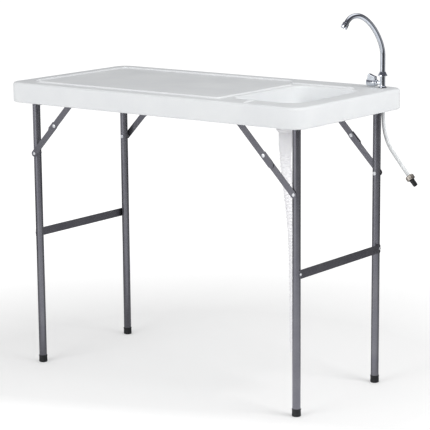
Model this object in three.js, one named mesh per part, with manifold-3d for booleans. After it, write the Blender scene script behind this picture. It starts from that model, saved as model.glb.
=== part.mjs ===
// Folding fish cleaning table: a hollow moulded top with a sink, two folding steel leg frames with
// locking braces, a gooseneck tap with its supply hose, and a drain with a ribbed hose.
// Millimetres, +Z up. The origin is on the floor under the middle of the top; the sink is at +X and
// the tap at the back, +Y.

import * as THREE from 'three';
import { mergeVertices } from 'three/addons/utils/BufferGeometryUtils.js';
import Module from 'manifold-3d';

const wasm = await Module();
wasm.setup();

// Clearances and overruns
const seatGap = 0.3;
const pinClearance = 0.4;
const overrun = 2;
const weldSink = 1;

// Moulded top
const topLength = 1140;
const topWidth = 580;
const topHeight = 940;
const apronDepth = 64;
const panelThickness = 30;
const skirtThickness = 26;
const mouldWall = 3;
const planCornerRadius = 45;
const topEdgeRadius = 8;
const lowerEdgeRadius = 4;
const skirtInnerRadius = 22;
const ventRadius = 4;
const ventOffset = 150;

// Beads that stand on the top, as distances from its edges and from the basin
const beadBase = 10;
const beadCrest = 4.5;
const beadHeight = 4.5;
const beadCornerRadius = 14;
const boardEndInset = 62;
const boardFrontInset = 50;
const boardBackInset = 68;
const boardDrainGap = 74;
const cornerDrainGap = 18;
const basinBeadGap = 20;
const backBeadSetback = 54;
const backBeadShift = 36;
const sinkBeadSetback = 41;
const dividerSetback = 12;
const dividerSlant = 14;
const dividerInset = 4;

// Sink basin
const basinLength = 232;
const basinEndMargin = 74;
const basinFrontMargin = 86;
const basinBackMargin = 132;
const basinDepth = 76;
const basinCornerRadius = 40;
const basinFloorRadius = 18;
const basinDraft = Math.PI / 30;

// Leg frames
const tubeRadius = 12.5;
const tubeWall = 1.2;
const legEndInset = 58;
const legSideInset = 71;
const rightPivotDrop = 45;
const leftPivotDrop = 75;
const footRadius = 14;
const footHeight = 24;
const footSole = 4;
const footEdge = 2;
const crossbarHeight = 27;
const crossbarThickness = 2.5;
const crossbarMiddle = 437;
const crossbarOverhang = 3;
const crossbarCorner = 4;

// Pivot tubes between the legs' tops, and the saddles that hold them under the top
const pivotRadius = 6.5;
const legAbovePivot = 6;
const saddleWall = 1.9;
const saddleWidth = 20;
const saddleSetback = 60;
const saddleFlangeLength = 26;

// Folding braces, in layers outside the legs
const braceThickness = 2.5;
const braceWidth = 20.5;
const braceStandOff = 2.5;
const braceLayerGap = 0.5;
const rightBraceDrop = 219;
const rightBraceReach = 213.3;
const rightBracketDrop = 15;
const rightLowerLink = 150;
const rightKneeTail = 36;
const leftBraceDrop = 161;
const leftBraceReach = 176.8;
const leftBracketDrop = 20;
const leftLowerLink = 136;
const leftKneeTail = 24;
const kneeLip = 2.5;
const kneeLipLead = 6;
const bracketWidth = 30;
const bracketFlange = 16;
const bracketFoot = 9;

// Rivets
const rivetRadius = 3;
const rivetHeadRadius = 6;
const rivetHeadHeight = 1.8;
const flushHeadRadius = 5;

// Drain
const drainSetbackX = 27;
const drainSetbackY = 25;
const strainerRadius = 28;
const strainerLip = 2;
const strainerPlate = 2.2;
const strainerHoleRadius = 2.6;
const strainerHoleCircle = 9;
const strainerHoles = 7;
const tailpieceRadius = 16.5;
const tailpieceWall = 2;
const tailpieceLength = 76;
const lockNutRadius = 28.5;
const lockNutBodyRadius = 22;
const lockNutHeight = 35.5;
const lockNutFlange = 14;
const sleeveRadius = 20.6;
const sleeveEndRadius = 18.8;
const sleeveLength = 61.5;
const sleeveTaper = 22;
const sleeveLip = 6;
const hoseRadius = 17.2;
const hoseValleyRadius = 15.1;
const hoseBoreRadius = 13.2;
const hoseRibs = 56;
const hoseFlare = 2;
const hoseFlareLength = 34;
const hosePlainTop = 5;
const hosePlainEnd = 34;
const hoseSides = 8;
const boreRingEvery = 5;

// Tap
const tapEndInset = 55;
const tapBackInset = 46;
const gasketRadius = 12.5;
const gasketHeight = 1.5;
const tapFootRadius = 12;
const tapFootHeight = 3;
const tapBodyRadius = 8.4;
const tapBodyHeight = 38;
const valveAxisHeight = 14.5;
const valveRadius = 9.5;
const valveReach = 24;
const valveNeckRadius = 5.6;
const valveNeckReach = 16;
const shankRadius = 8;
const shankLength = 52;
const shankBore = 4.5;
const shankNutRadius = 11.5;
const shankNutHeight = 8;
const handleRadius = 11.6;
const handleLength = 31;
const handleEdge = 2.5;
const paddleWidth = 14;
const paddleSetback = 3;
const paddleLean = 2.5;
const paddleOuterTop = 27;
const paddleInnerTop = 18;
const collarRadius = 14.8;
const collarNeckRadius = 9.2;
const collarHeight = 13;
const collarSkirt = 3;
const spoutRadius = 7.9;
const spoutWall = 1.5;
const spoutTurn = Math.PI / 3;
const spoutStraight = 100;
const spoutSpring = 48;
const spoutApexReach = 92;
const spoutApexHeight = 226;
const spoutApexPull = 44;
const spoutTipOvershoot = 39.5;
const spoutTipDrop = 29;
const spoutTipPull = 18;
const spoutTipSteepness = Math.PI * 0.33;
const aeratorRadius = 10.4;
const aeratorLength = 17;
const aeratorGrip = 9;
const aeratorBore = 5;

// Supply hose
const supplyRadius = 5.8;
const supplyBore = 3.6;
const swivelNutRadius = 14;
const swivelNutBore = 8.6;
const swivelNutLength = 15;
const inletRadius = 8;
const inletLength = 38;

// Facets of the round pieces
const tubeSides = 16;
const smallSides = 12;
const spoutSides = 10;
const spoutSteps = 28;
const supplySteps = 22;
const nutSides = 6;
const cornerSteps = 6;
const roundSteps = 4;

// Places worked out from the sizes
const apronBottom = topHeight - apronDepth;
const panelUnderside = topHeight - panelThickness;
const halfLength = topLength / 2;
const halfWidth = topWidth / 2;
const skirtInnerX = halfLength - skirtThickness;
const skirtInnerY = halfWidth - skirtThickness;
const basinWidth = topWidth - basinFrontMargin - basinBackMargin;
const basinRight = halfLength - basinEndMargin;
const basinBack = halfWidth - basinBackMargin;
const basinCentreX = basinRight - basinLength / 2;
const basinCentreY = basinBack - basinWidth / 2;
const drainX = basinCentreX - drainSetbackX;
const drainY = basinCentreY - drainSetbackY;
const tapX = halfLength - tapEndInset;
const tapY = halfWidth - tapBackInset;
const basinWallTop = topHeight - topEdgeRadius;
const basinFloor = topHeight - basinDepth;
const basinUnderside = basinFloor - mouldWall;
const legSpreadX = halfLength - legEndInset;
const legSpreadY = halfWidth - legSideInset;
const saddleSpread = legSpreadY - saddleSetback;
const legOuterFace = legSpreadY + tubeRadius;
const legInnerFace = legSpreadY - tubeRadius;
const lowerLinkY = legOuterFace + braceStandOff;
const upperLinkY = lowerLinkY + braceThickness + braceLayerGap;
const bracketY = upperLinkY + braceThickness + braceLayerGap;
const faces = [{ label: 'front', side: -1 }, { label: 'rear', side: 1 }];

const mouldedWhite = new THREE.MeshStandardMaterial({ color: 0xe6e8ea, roughness: 0.5, metalness: 0 });
const coatedSteel = new THREE.MeshStandardMaterial({ color: 0x545358, roughness: 0.38, metalness: 0.3 });
const blackRubber = new THREE.MeshStandardMaterial({ color: 0x222426, roughness: 0.8, metalness: 0 });
const zincRivet = new THREE.MeshStandardMaterial({ color: 0xc9ccd0, roughness: 0.35, metalness: 1 });
const chromePlate = new THREE.MeshStandardMaterial({ color: 0xc3c8cf, roughness: 0.15, metalness: 1 });
const brassPlate = new THREE.MeshStandardMaterial({ color: 0xc2b9ad, roughness: 0.3, metalness: 1 });
const hoseGrey = new THREE.MeshStandardMaterial({ color: 0xeeeef2, roughness: 0.45, metalness: 0 });
const hoseWhite = new THREE.MeshStandardMaterial({ color: 0xdfe1e2, roughness: 0.4, metalness: 0 });

// A closed body from a bare geometry, and back again
function solidOf(geometry) {
  const bare = geometry.clone();
  bare.deleteAttribute('normal');
  bare.deleteAttribute('uv');
  const merged = mergeVertices(bare);
  return new wasm.Manifold(new wasm.Mesh({
    numProp: 3,
    vertProperties: Float32Array.from(merged.attributes.position.array),
    triVerts: Uint32Array.from(merged.index.array),
  }));
}

function geometryOf(solid) {
  const mesh = solid.getMesh();
  const geometry = new THREE.BufferGeometry();
  geometry.setAttribute('position', new THREE.BufferAttribute(mesh.vertProperties, 3));
  geometry.setIndex(new THREE.BufferAttribute(mesh.triVerts, 1));
  geometry.computeVertexNormals();
  return geometry;
}

function addPiece(parent, name, geometry, material, place = [0, 0, 0]) {
  const piece = new THREE.Mesh(geometry, material);
  piece.name = name;
  piece.position.set(...place);
  parent.add(piece);
  return piece;
}

// Skins a row of rings that have equally many points. The ends are closed with a fan, or, when
// looped, the last ring joins the first. Faces are turned outwards.
function skinRings(rings, looped = false) {
  const count = rings[0].length;
  const positions = rings.flat().flatMap((point) => [point.x, point.y, point.z]);
  const index = [];
  const lastRow = looped ? rings.length : rings.length - 1;
  for (let row = 0; row < lastRow; row += 1) {
    const here = row * count;
    const there = ((row + 1) % rings.length) * count;
    for (let side = 0; side < count; side += 1) {
      const next = (side + 1) % count;
      index.push(here + side, here + next, there + next, here + side, there + next, there + side);
    }
  }
  if (!looped) {
    const end = (rings.length - 1) * count;
    for (let side = 1; side < count - 1; side += 1) {
      index.push(0, side + 1, side, end, end + side, end + side + 1);
    }
  }
  const geometry = new THREE.BufferGeometry();
  geometry.setAttribute('position', new THREE.Float32BufferAttribute(positions, 3));
  geometry.setIndex(signedVolume(positions, index) < 0 ? index.reverse() : index);
  geometry.computeVertexNormals();
  return geometry;
}

function signedVolume(positions, index) {
  const corner = (at) => new THREE.Vector3().fromArray(positions, index[at] * 3);
  let volume = 0;
  for (let at = 0; at < index.length; at += 3) {
    volume += corner(at).dot(corner(at + 1).cross(corner(at + 2)));
  }
  return volume;
}

// A rounded rectangle at one height, around a centre
function roundedRing(halfX, halfY, radius, z, centreX = 0, centreY = 0) {
  const corners = [[1, 1], [-1, 1], [-1, -1], [1, -1]];
  return corners.flatMap(([signX, signY], quarter) => {
    const arc = [];
    for (let step = 0; step <= cornerSteps; step += 1) {
      const angle = (quarter + step / cornerSteps) * Math.PI / 2;
      arc.push(new THREE.Vector3(
        centreX + signX * (halfX - radius) + radius * Math.cos(angle),
        centreY + signY * (halfY - radius) + radius * Math.sin(angle),
        z,
      ));
    }
    return arc;
  });
}

// Solid of revolution about Y from [radius, y] pairs, with its faces turned outwards
function lathed(profile, sides) {
  const points = profile.map(([radius, y]) => new THREE.Vector2(radius, y));
  const geometry = new THREE.LatheGeometry(points, sides);
  const index = Array.from(geometry.index.array);
  if (signedVolume(geometry.attributes.position.array, index) < 0) {
    geometry.setIndex(index.reverse());
    geometry.computeVertexNormals();
  }
  return geometry;
}

// The same about Z
function turned(profile, sides = smallSides) {
  return lathed(profile, sides).rotateX(Math.PI / 2);
}

// The same about Y, for rivets: the profile's second number runs outwards from the table's middle
function turnedAcross(profile, side) {
  const geometry = lathed(profile, smallSides);
  return side > 0 ? geometry : geometry.rotateX(Math.PI);
}

function rod(radius, from, to, sides = smallSides) {
  return turned([[0, from], [radius, from], [radius, to], [0, to]], sides);
}

function crossRod(radius, from, to) {
  return rod(radius, from, to).rotateX(Math.PI / 2);
}

// A flat plate cut from an outline in X and Z, standing in the layer from y to y + thickness on the
// given side of the table
function uprightPlate(shape, layerY, thickness, side) {
  const plate = new THREE.ExtrudeGeometry(shape, {
    depth: thickness, bevelEnabled: false, curveSegments: smallSides / 2,
  }).rotateX(Math.PI / 2);
  return plate.translate(0, side > 0 ? layerY + thickness : -layerY, 0);
}

function holeAt(x, y, radius) {
  const hole = new THREE.Path();
  hole.absarc(x, y, radius, 0, Math.PI * 2, true);
  return hole;
}

// Moulded top
function outerTopRings(inset) {
  const rings = [];
  const ringAt = (shrink, z) => rings.push(roundedRing(
    halfLength - inset - shrink, halfWidth - inset - shrink, planCornerRadius - inset - shrink, z,
  ));
  for (let step = 0; step <= roundSteps / 2; step += 1) {
    const angle = step / (roundSteps / 2) * Math.PI / 2;
    ringAt(lowerEdgeRadius * (1 - Math.sin(angle)),
      apronBottom + inset + lowerEdgeRadius * (1 - Math.cos(angle)));
  }
  for (let step = 0; step <= roundSteps; step += 1) {
    const angle = step / roundSteps * Math.PI / 2;
    ringAt(topEdgeRadius * (1 - Math.cos(angle)),
      topHeight - inset - topEdgeRadius * (1 - Math.sin(angle)));
  }
  return rings;
}

function basinRing(outset, z) {
  return roundedRing(basinLength / 2 + outset, basinWidth / 2 + outset,
    basinCornerRadius + outset, z, basinCentreX, basinCentreY);
}

function basinHollow() {
  const rings = [basinRing(topEdgeRadius, topHeight + overrun)];
  for (let step = 0; step <= roundSteps; step += 1) {
    const angle = step / roundSteps * Math.PI / 2;
    rings.push(basinRing(topEdgeRadius * (1 - Math.sin(angle)),
      topHeight - topEdgeRadius * (1 - Math.cos(angle))));
  }
  const floorInset = (basinWallTop - basinFloor) * Math.tan(basinDraft);
  for (let step = 0; step <= roundSteps; step += 1) {
    const angle = step / roundSteps * Math.PI / 2;
    rings.push(basinRing(-floorInset - basinFloorRadius * (1 - Math.cos(angle)),
      basinFloor + basinFloorRadius * (1 - Math.sin(angle))));
  }
  return solidOf(skinRings(rings));
}

function basinShell() {
  const lean = (z) => mouldWall - (basinWallTop - z) * Math.tan(basinDraft);
  const rings = [
    basinRing(topEdgeRadius, topHeight - mouldWall),
    basinRing(lean(basinWallTop), basinWallTop),
  ];
  const bend = basinFloorRadius + mouldWall;
  for (let step = 0; step <= roundSteps; step += 1) {
    const angle = step / roundSteps * Math.PI / 2;
    rings.push(basinRing(lean(basinFloor) - bend * (1 - Math.cos(angle)),
      basinUnderside + bend * (1 - Math.sin(angle))));
  }
  return solidOf(skinRings(rings));
}

// A bead runs along a line of plan points, wide at its base and narrow at its crest
function bead(points) {
  const rings = points.map((point, at) => {
    const before = points[Math.max(at - 1, 0)];
    const after = points[Math.min(at + 1, points.length - 1)];
    const across = after.clone().sub(before).normalize();
    across.set(-across.y, across.x);
    const corner = (reach, z) => new THREE.Vector3(
      point.x + across.x * reach, point.y + across.y * reach, z,
    );
    return [
      corner(-beadBase / 2, topHeight - weldSink), corner(-beadCrest / 2, topHeight + beadHeight),
      corner(beadCrest / 2, topHeight + beadHeight), corner(beadBase / 2, topHeight - weldSink),
    ];
  });
  return solidOf(skinRings(rings));
}

// Straight runs between corners that are rounded in plan
function roundedRun(corners, radius) {
  const path = [corners[0]];
  for (let at = 1; at < corners.length - 1; at += 1) {
    const into = corners[at - 1].clone().sub(corners[at]).normalize().multiplyScalar(radius);
    const out = corners[at + 1].clone().sub(corners[at]).normalize().multiplyScalar(radius);
    const bend = new THREE.QuadraticBezierCurve(
      corners[at].clone().add(into), corners[at], corners[at].clone().add(out),
    );
    path.push(...bend.getPoints(roundSteps));
  }
  path.push(corners[corners.length - 1]);
  return path;
}

function beads() {
  const plan = (x, y) => new THREE.Vector2(x, y);
  const boardLeft = boardEndInset - halfLength;
  const boardRight = basinRight - basinLength - basinBeadGap;
  const boardFront = boardFrontInset - halfWidth;
  const boardBack = halfWidth - boardBackInset;
  const front = roundedRun([
    plan(boardLeft + cornerDrainGap + beadBase, boardFront), plan(boardRight, boardFront),
    plan(boardRight, boardBack - boardDrainGap),
  ], beadCornerRadius);
  const backEnd = boardRight - backBeadSetback;
  const sinkLine = basinBack + basinBeadGap;
  const back = roundedRun([
    plan(boardLeft, boardFront + cornerDrainGap), plan(boardLeft, boardBack),
    plan(backEnd, boardBack), plan(backEnd + backBeadShift, sinkLine),
    plan(basinRight - sinkBeadSetback, sinkLine),
  ], beadCornerRadius);
  const dividerX = basinCentreX - dividerSetback;
  const basinFront = basinFrontMargin - halfWidth - topEdgeRadius;
  const divider = [
    plan(dividerX, dividerInset - halfWidth), plan(dividerX - dividerSlant, basinFront),
  ];
  return bead(front).add(bead(back)).add(bead(divider));
}

function tabletopGeometry() {
  const outer = solidOf(skinRings(outerTopRings(0)));
  const recess = solidOf(skinRings([
    roundedRing(skirtInnerX, skirtInnerY, skirtInnerRadius, apronBottom - overrun),
    roundedRing(skirtInnerX, skirtInnerY, skirtInnerRadius, panelUnderside),
  ]));
  const lining = solidOf(skinRings([
    roundedRing(skirtInnerX + mouldWall, skirtInnerY + mouldWall, skirtInnerRadius + mouldWall,
      apronBottom - overrun),
    roundedRing(skirtInnerX + mouldWall, skirtInnerY + mouldWall, skirtInnerRadius + mouldWall,
      panelUnderside + mouldWall),
  ]));
  const tapHole = shankRadius + pinClearance;
  const tapBoss = rod(tapHole + mouldWall, panelUnderside, topHeight).translate(tapX, tapY, 0);
  const shell = basinShell();
  const cavity = solidOf(skinRings(outerTopRings(mouldWall)))
    .subtract(lining).subtract(shell).subtract(solidOf(tapBoss));
  const vent = rod(ventRadius, panelUnderside - overrun, panelUnderside + mouldWall + overrun)
    .translate(0, ventOffset, 0);
  const drainHole = rod(tailpieceRadius + pinClearance, basinUnderside - overrun, basinFloor + overrun,
    tubeSides).translate(drainX, drainY, 0);
  const tapOpening = rod(tapHole, panelUnderside - overrun, topHeight + overrun)
    .translate(tapX, tapY, 0);
  return geometryOf(outer.subtract(recess).add(shell).subtract(cavity).add(beads())
    .subtract(basinHollow()).subtract(solidOf(vent)).subtract(solidOf(drainHole))
    .subtract(solidOf(tapOpening)));
}

// Leg frames: everything is placed from the pivot at the middle of the frame's top tube
function tubeAlong(length, radius, wall) {
  return turned([
    [radius - wall, -length / 2], [radius, -length / 2], [radius, length / 2],
    [radius - wall, length / 2], [radius - wall, -length / 2],
  ], tubeSides);
}

function legGeometry(pivotHeight, braceDrop) {
  const bottom = footSole + seatGap - pivotHeight;
  const tube = solidOf(turned([
    [tubeRadius - tubeWall, bottom], [tubeRadius, bottom], [tubeRadius, legAbovePivot],
    [tubeRadius - tubeWall, legAbovePivot], [tubeRadius - tubeWall, bottom],
  ], tubeSides));
  const rivetHole = solidOf(crossRod(rivetRadius + pinClearance, -tubeRadius - overrun,
    tubeRadius + overrun).translate(0, 0, -braceDrop));
  return geometryOf(tube.subtract(rivetHole));
}

function footGeometry() {
  const bore = tubeRadius + seatGap;
  return turned([
    [0, 0], [footRadius - footEdge, 0], [footRadius, footEdge], [footRadius, footHeight],
    [bore, footHeight], [bore, footSole], [0, footSole],
  ], tubeSides);
}

function crossbarGeometry() {
  const halfSpan = legSpreadY + crossbarOverhang;
  const halfHeight = crossbarHeight / 2;
  const inner = halfSpan - crossbarCorner;
  const lift = halfHeight - crossbarCorner;
  const outline = new THREE.Shape();
  outline.absarc(inner, lift, crossbarCorner, 0, Math.PI / 2);
  outline.absarc(-inner, lift, crossbarCorner, Math.PI / 2, Math.PI);
  outline.absarc(-inner, -lift, crossbarCorner, Math.PI, Math.PI * 1.5);
  outline.absarc(inner, -lift, crossbarCorner, Math.PI * 1.5, Math.PI * 2);
  return new THREE.ExtrudeGeometry(outline, {
    depth: crossbarThickness, bevelEnabled: false, curveSegments: roundSteps,
  }).rotateX(Math.PI / 2).rotateZ(Math.PI / 2);
}

function legRivetGeometry(side) {
  const headTop = lowerLinkY + braceThickness - seatGap / 2;
  const washerFrom = legOuterFace + seatGap;
  const washerTo = lowerLinkY - seatGap;
  const innerHead = legInnerFace - seatGap;
  return turnedAcross([
    [0, innerHead - rivetHeadHeight], [rivetHeadRadius * Math.SQRT1_2, innerHead - rivetHeadHeight],
    [rivetHeadRadius, innerHead - rivetHeadHeight / 2], [rivetHeadRadius, innerHead],
    [rivetRadius, innerHead], [rivetRadius, washerFrom], [rivetHeadRadius, washerFrom],
    [rivetHeadRadius, washerTo], [flushHeadRadius, washerTo], [flushHeadRadius, headTop],
    [0, headTop],
  ], side);
}

// Braces: the lower link hangs on the leg, the upper on a bracket under the top, and they meet in a
// straight line at the knee while the leg stands
function braceLayout(pivotDrop, braceDrop, braceReach, bracketDrop, lowerLength, kneeTail) {
  const legPin = new THREE.Vector2(0, -braceDrop);
  const bracketPin = new THREE.Vector2(-braceReach, pivotDrop - panelThickness - bracketDrop);
  const span = bracketPin.distanceTo(legPin);
  const knee = legPin.clone().lerp(bracketPin, lowerLength / span);
  return { legPin, bracketPin, knee, lowerLength, upperLength: span - lowerLength, kneeTail };
}

function linkGeometry(length, tail, layerY, side) {
  const half = braceWidth / 2;
  const outline = new THREE.Shape();
  outline.absarc(0, 0, half, Math.PI / 2, Math.PI * 1.5);
  outline.absarc(length + tail, 0, half, -Math.PI / 2, Math.PI / 2);
  outline.holes.push(holeAt(0, 0, flushHeadRadius + pinClearance));
  outline.holes.push(holeAt(length, 0, rivetRadius + pinClearance));
  return uprightPlate(outline, layerY, braceThickness, side);
}

// The upper link has a tail past its knee, with a stop lip along the edge that faces the corner
// between the leg and the top
function upperLinkGeometry(length, tail, side, cornerSide) {
  const edge = cornerSide * braceWidth / 2;
  const from = length - kneeLipLead;
  const lip = new THREE.Shape();
  lip.moveTo(from, edge / 2);
  lip.lineTo(length + tail, edge / 2);
  lip.lineTo(length + tail, edge + cornerSide * kneeLip);
  lip.lineTo(from, edge + cornerSide * kneeLip);
  return geometryOf(solidOf(linkGeometry(length, tail, upperLinkY, side))
    .add(solidOf(uprightPlate(lip, upperLinkY, braceThickness, side))));
}

function kneeTailRivet(side) {
  const from = legOuterFace + seatGap * 2;
  const headTo = lowerLinkY - seatGap;
  return turnedAcross([
    [0, from], [rivetHeadRadius, from], [rivetHeadRadius, headTo], [rivetRadius, headTo],
    [rivetRadius, lowerLinkY + braceThickness], [0, lowerLinkY + braceThickness],
  ], side);
}

function kneeHeadRivet(side) {
  const headFrom = upperLinkY + braceThickness + seatGap;
  return turnedAcross([
    [0, upperLinkY], [rivetRadius, upperLinkY], [rivetRadius, headFrom],
    [rivetHeadRadius, headFrom], [rivetHeadRadius, headFrom + rivetHeadHeight / 2],
    [rivetHeadRadius * Math.SQRT1_2, headFrom + rivetHeadHeight], [0, headFrom + rivetHeadHeight],
  ], side);
}

function bracketRivet(side) {
  const flushTo = upperLinkY + braceThickness + seatGap / 2;
  const headFrom = bracketY + braceThickness + seatGap;
  return turnedAcross([
    [0, upperLinkY], [flushHeadRadius, upperLinkY], [flushHeadRadius, flushTo],
    [rivetRadius, flushTo], [rivetRadius, headFrom], [rivetHeadRadius, headFrom],
    [rivetHeadRadius, headFrom + rivetHeadHeight / 2],
    [rivetHeadRadius * Math.SQRT1_2, headFrom + rivetHeadHeight], [0, headFrom + rivetHeadHeight],
  ], side);
}

// An angle: the upright hangs beside the upper link and its flange turns outwards under the top
function braceBracketGeometry(pinDrop, side) {
  const half = bracketWidth / 2;
  const flangeTop = -seatGap;
  const outline = new THREE.Shape();
  outline.moveTo(-half, flangeTop);
  outline.absarc(0, -pinDrop, bracketFoot, Math.PI, Math.PI * 2);
  outline.lineTo(half, flangeTop);
  outline.holes.push(holeAt(0, -pinDrop, rivetRadius + pinClearance));
  const upright = solidOf(uprightPlate(outline, bracketY, braceThickness, side));
  const reach = braceThickness + bracketFlange;
  const flange = new THREE.BoxGeometry(bracketWidth, reach, braceThickness)
    .translate(0, side * (bracketY + reach / 2), flangeTop - braceThickness / 2);
  return geometryOf(upright.add(solidOf(flange)));
}

// A strap round the pivot tube, carried by a web from a flange under the top
function saddleGeometry(pivotDrop) {
  const bore = pivotRadius + seatGap;
  const ceiling = pivotDrop - panelThickness - seatGap;
  const web = new THREE.BoxGeometry(saddleWall, saddleWidth, ceiling).translate(0, 0, ceiling / 2);
  const flange = new THREE.BoxGeometry(saddleFlangeLength, saddleWidth, saddleWall)
    .translate(0, 0, ceiling - saddleWall / 2);
  const hole = solidOf(rod(bore, -saddleWidth, saddleWidth, tubeSides).rotateX(Math.PI / 2));
  return geometryOf(solidOf(crossRod(bore + saddleWall, -saddleWidth / 2, saddleWidth / 2))
    .add(solidOf(web)).add(solidOf(flange)).subtract(hole));
}

function addFrame(label, sideX, pivotDrop, braceDrop, braceReach, bracketDrop, lowerLength, tail) {
  const pivotHeight = topHeight - pivotDrop;
  const frame = new THREE.Group();
  frame.position.set(sideX * legSpreadX, 0, pivotHeight);
  table.add(frame);
  addPiece(frame, `${label}_pivot_tube`, tubeAlong((legInnerFace - seatGap) * 2, pivotRadius,
    tubeWall).rotateX(Math.PI / 2), coatedSteel);
  const barInner = tubeRadius + seatGap;
  addPiece(frame, `${label}_crossbar`, crossbarGeometry(), coatedSteel,
    [sideX > 0 ? barInner : -barInner - crossbarThickness, 0, crossbarMiddle - pivotHeight]);
  const brace = braceLayout(pivotDrop, braceDrop, braceReach, bracketDrop, lowerLength, tail);
  for (const { label: face, side } of faces) {
    addPiece(frame, `${label}_${face}_leg`, legGeometry(pivotHeight, braceDrop), coatedSteel,
      [0, side * legSpreadY, 0]);
    addPiece(frame, `${label}_${face}_foot`, footGeometry(), blackRubber,
      [0, side * legSpreadY, -pivotHeight]);
    addPiece(frame, `${label}_${face}_leg_rivet`, legRivetGeometry(side), zincRivet,
      [0, 0, -braceDrop]);
    addPiece(frame, `${label}_${face}_saddle`, saddleGeometry(pivotDrop), coatedSteel,
      [0, side * saddleSpread, 0]);
    addBrace(frame, `${label}_${face}`, sideX, side, brace, bracketDrop);
  }
}

function addBrace(frame, name, sideX, side, brace, bracketDrop) {
  const { legPin, bracketPin, knee, lowerLength, upperLength, kneeTail } = brace;
  const lowerLink = addPiece(frame, `${name}_lower_link`,
    linkGeometry(lowerLength, 0, lowerLinkY, side), coatedSteel, [sideX * legPin.x, 0, legPin.y]);
  const rise = Math.atan2(bracketPin.y - legPin.y, sideX * (bracketPin.x - legPin.x));
  lowerLink.rotation.y = -rise;
  const upperLink = addPiece(frame, `${name}_upper_link`,
    upperLinkGeometry(upperLength, kneeTail, side, sideX), coatedSteel,
    [sideX * bracketPin.x, 0, bracketPin.y]);
  upperLink.rotation.y = -rise + Math.PI;
  addPiece(frame, `${name}_knee_tail`, kneeTailRivet(side), zincRivet, [sideX * knee.x, 0, knee.y]);
  addPiece(frame, `${name}_knee_rivet`, kneeHeadRivet(side), zincRivet, [sideX * knee.x, 0, knee.y]);
  addPiece(frame, `${name}_brace_bracket`, braceBracketGeometry(bracketDrop, side), coatedSteel,
    [sideX * bracketPin.x, 0, bracketPin.y + bracketDrop]);
  addPiece(frame, `${name}_bracket_rivet`, bracketRivet(side), zincRivet,
    [sideX * bracketPin.x, 0, bracketPin.y]);
}

// Drain
function strainerGeometry() {
  const bore = tailpieceRadius - tailpieceWall;
  const lipTop = seatGap + strainerLip;
  let strainer = solidOf(turned([
    [0, lipTop - strainerPlate], [bore, lipTop - strainerPlate], [bore, -tailpieceLength],
    [tailpieceRadius, -tailpieceLength], [tailpieceRadius, seatGap], [strainerRadius, seatGap],
    [strainerRadius - strainerLip / 2, lipTop], [0, lipTop],
  ], tubeSides));
  const hole = rod(strainerHoleRadius, -strainerPlate * 2, lipTop + overrun, smallSides / 2);
  for (let at = 0; at < strainerHoles; at += 1) {
    const angle = at / (strainerHoles - 1) * Math.PI * 2;
    const reach = at === strainerHoles - 1 ? 0 : strainerHoleCircle;
    strainer = strainer.subtract(solidOf(hole.clone()
      .translate(reach * Math.cos(angle), reach * Math.sin(angle), 0)));
  }
  return geometryOf(strainer);
}

// A long nut with its flange at the bottom, bevelled towards the sleeve
function lockNutGeometry() {
  const bore = tailpieceRadius + seatGap;
  const top = -mouldWall - seatGap;
  const bottom = top - lockNutHeight;
  return turned([
    [bore, bottom], [lockNutBodyRadius, bottom], [lockNutRadius, bottom + lockNutFlange / 2],
    [lockNutRadius, bottom + lockNutFlange], [lockNutBodyRadius, bottom + lockNutFlange],
    [lockNutBodyRadius, top], [bore, top], [bore, bottom],
  ], tubeSides);
}

const sleeveTop = -mouldWall - lockNutHeight - seatGap * 2;
const hoseStart = basinFloor + sleeveTop - sleeveLength - seatGap;

function sleeveGeometry() {
  const bore = tailpieceRadius + seatGap;
  const sleeveEnd = sleeveTop - sleeveLength;
  return turned([
    [hoseBoreRadius, sleeveEnd], [sleeveEndRadius, sleeveEnd], [sleeveRadius, sleeveEnd + sleeveTaper],
    [sleeveRadius, sleeveTop], [bore, sleeveTop], [bore, sleeveEnd + sleeveLip],
    [hoseBoreRadius, sleeveEnd + sleeveLip], [hoseBoreRadius, sleeveEnd],
  ], tubeSides);
}

// The drain hose hangs from the sleeve and swings a little to the right. Points are the distance to
// the right of the drain and the height above the floor.
const drainRoute = [
  [0, hoseStart], [0, 740], [1.4, 722], [4.2, 700], [7.5, 675], [11, 650], [15, 622],
  [19.5, 592], [23.4, 562], [26.7, 530], [29.5, 495], [31.6, 455], [33.3, 410], [34.5, 360],
  [35.2, 310], [35.5, 262], [35.7, 222], [35.8, 192], [35.8, 166], [35.8, 139],
];

function curveInPlane(route, x, y) {
  return new THREE.CatmullRomCurve3(route.map(([reach, z]) => new THREE.Vector3(x + reach, y, z)),
    false, 'centripetal');
}

function ringOnCurve(curve, length, reach, radius, sides) {
  const share = THREE.MathUtils.clamp(reach / length, 0, 1);
  const centre = curve.getPointAt(share);
  const across = new THREE.Vector3(0, 1, 0);
  const outwards = curve.getTangentAt(share).cross(across).normalize();
  const ring = [];
  for (let side = 0; side < sides; side += 1) {
    const angle = (side + 0.5) / sides * Math.PI * 2;
    ring.push(centre.clone().addScaledVector(outwards, radius * Math.cos(angle))
      .addScaledVector(across, radius * Math.sin(angle)));
  }
  return ring;
}

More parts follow.
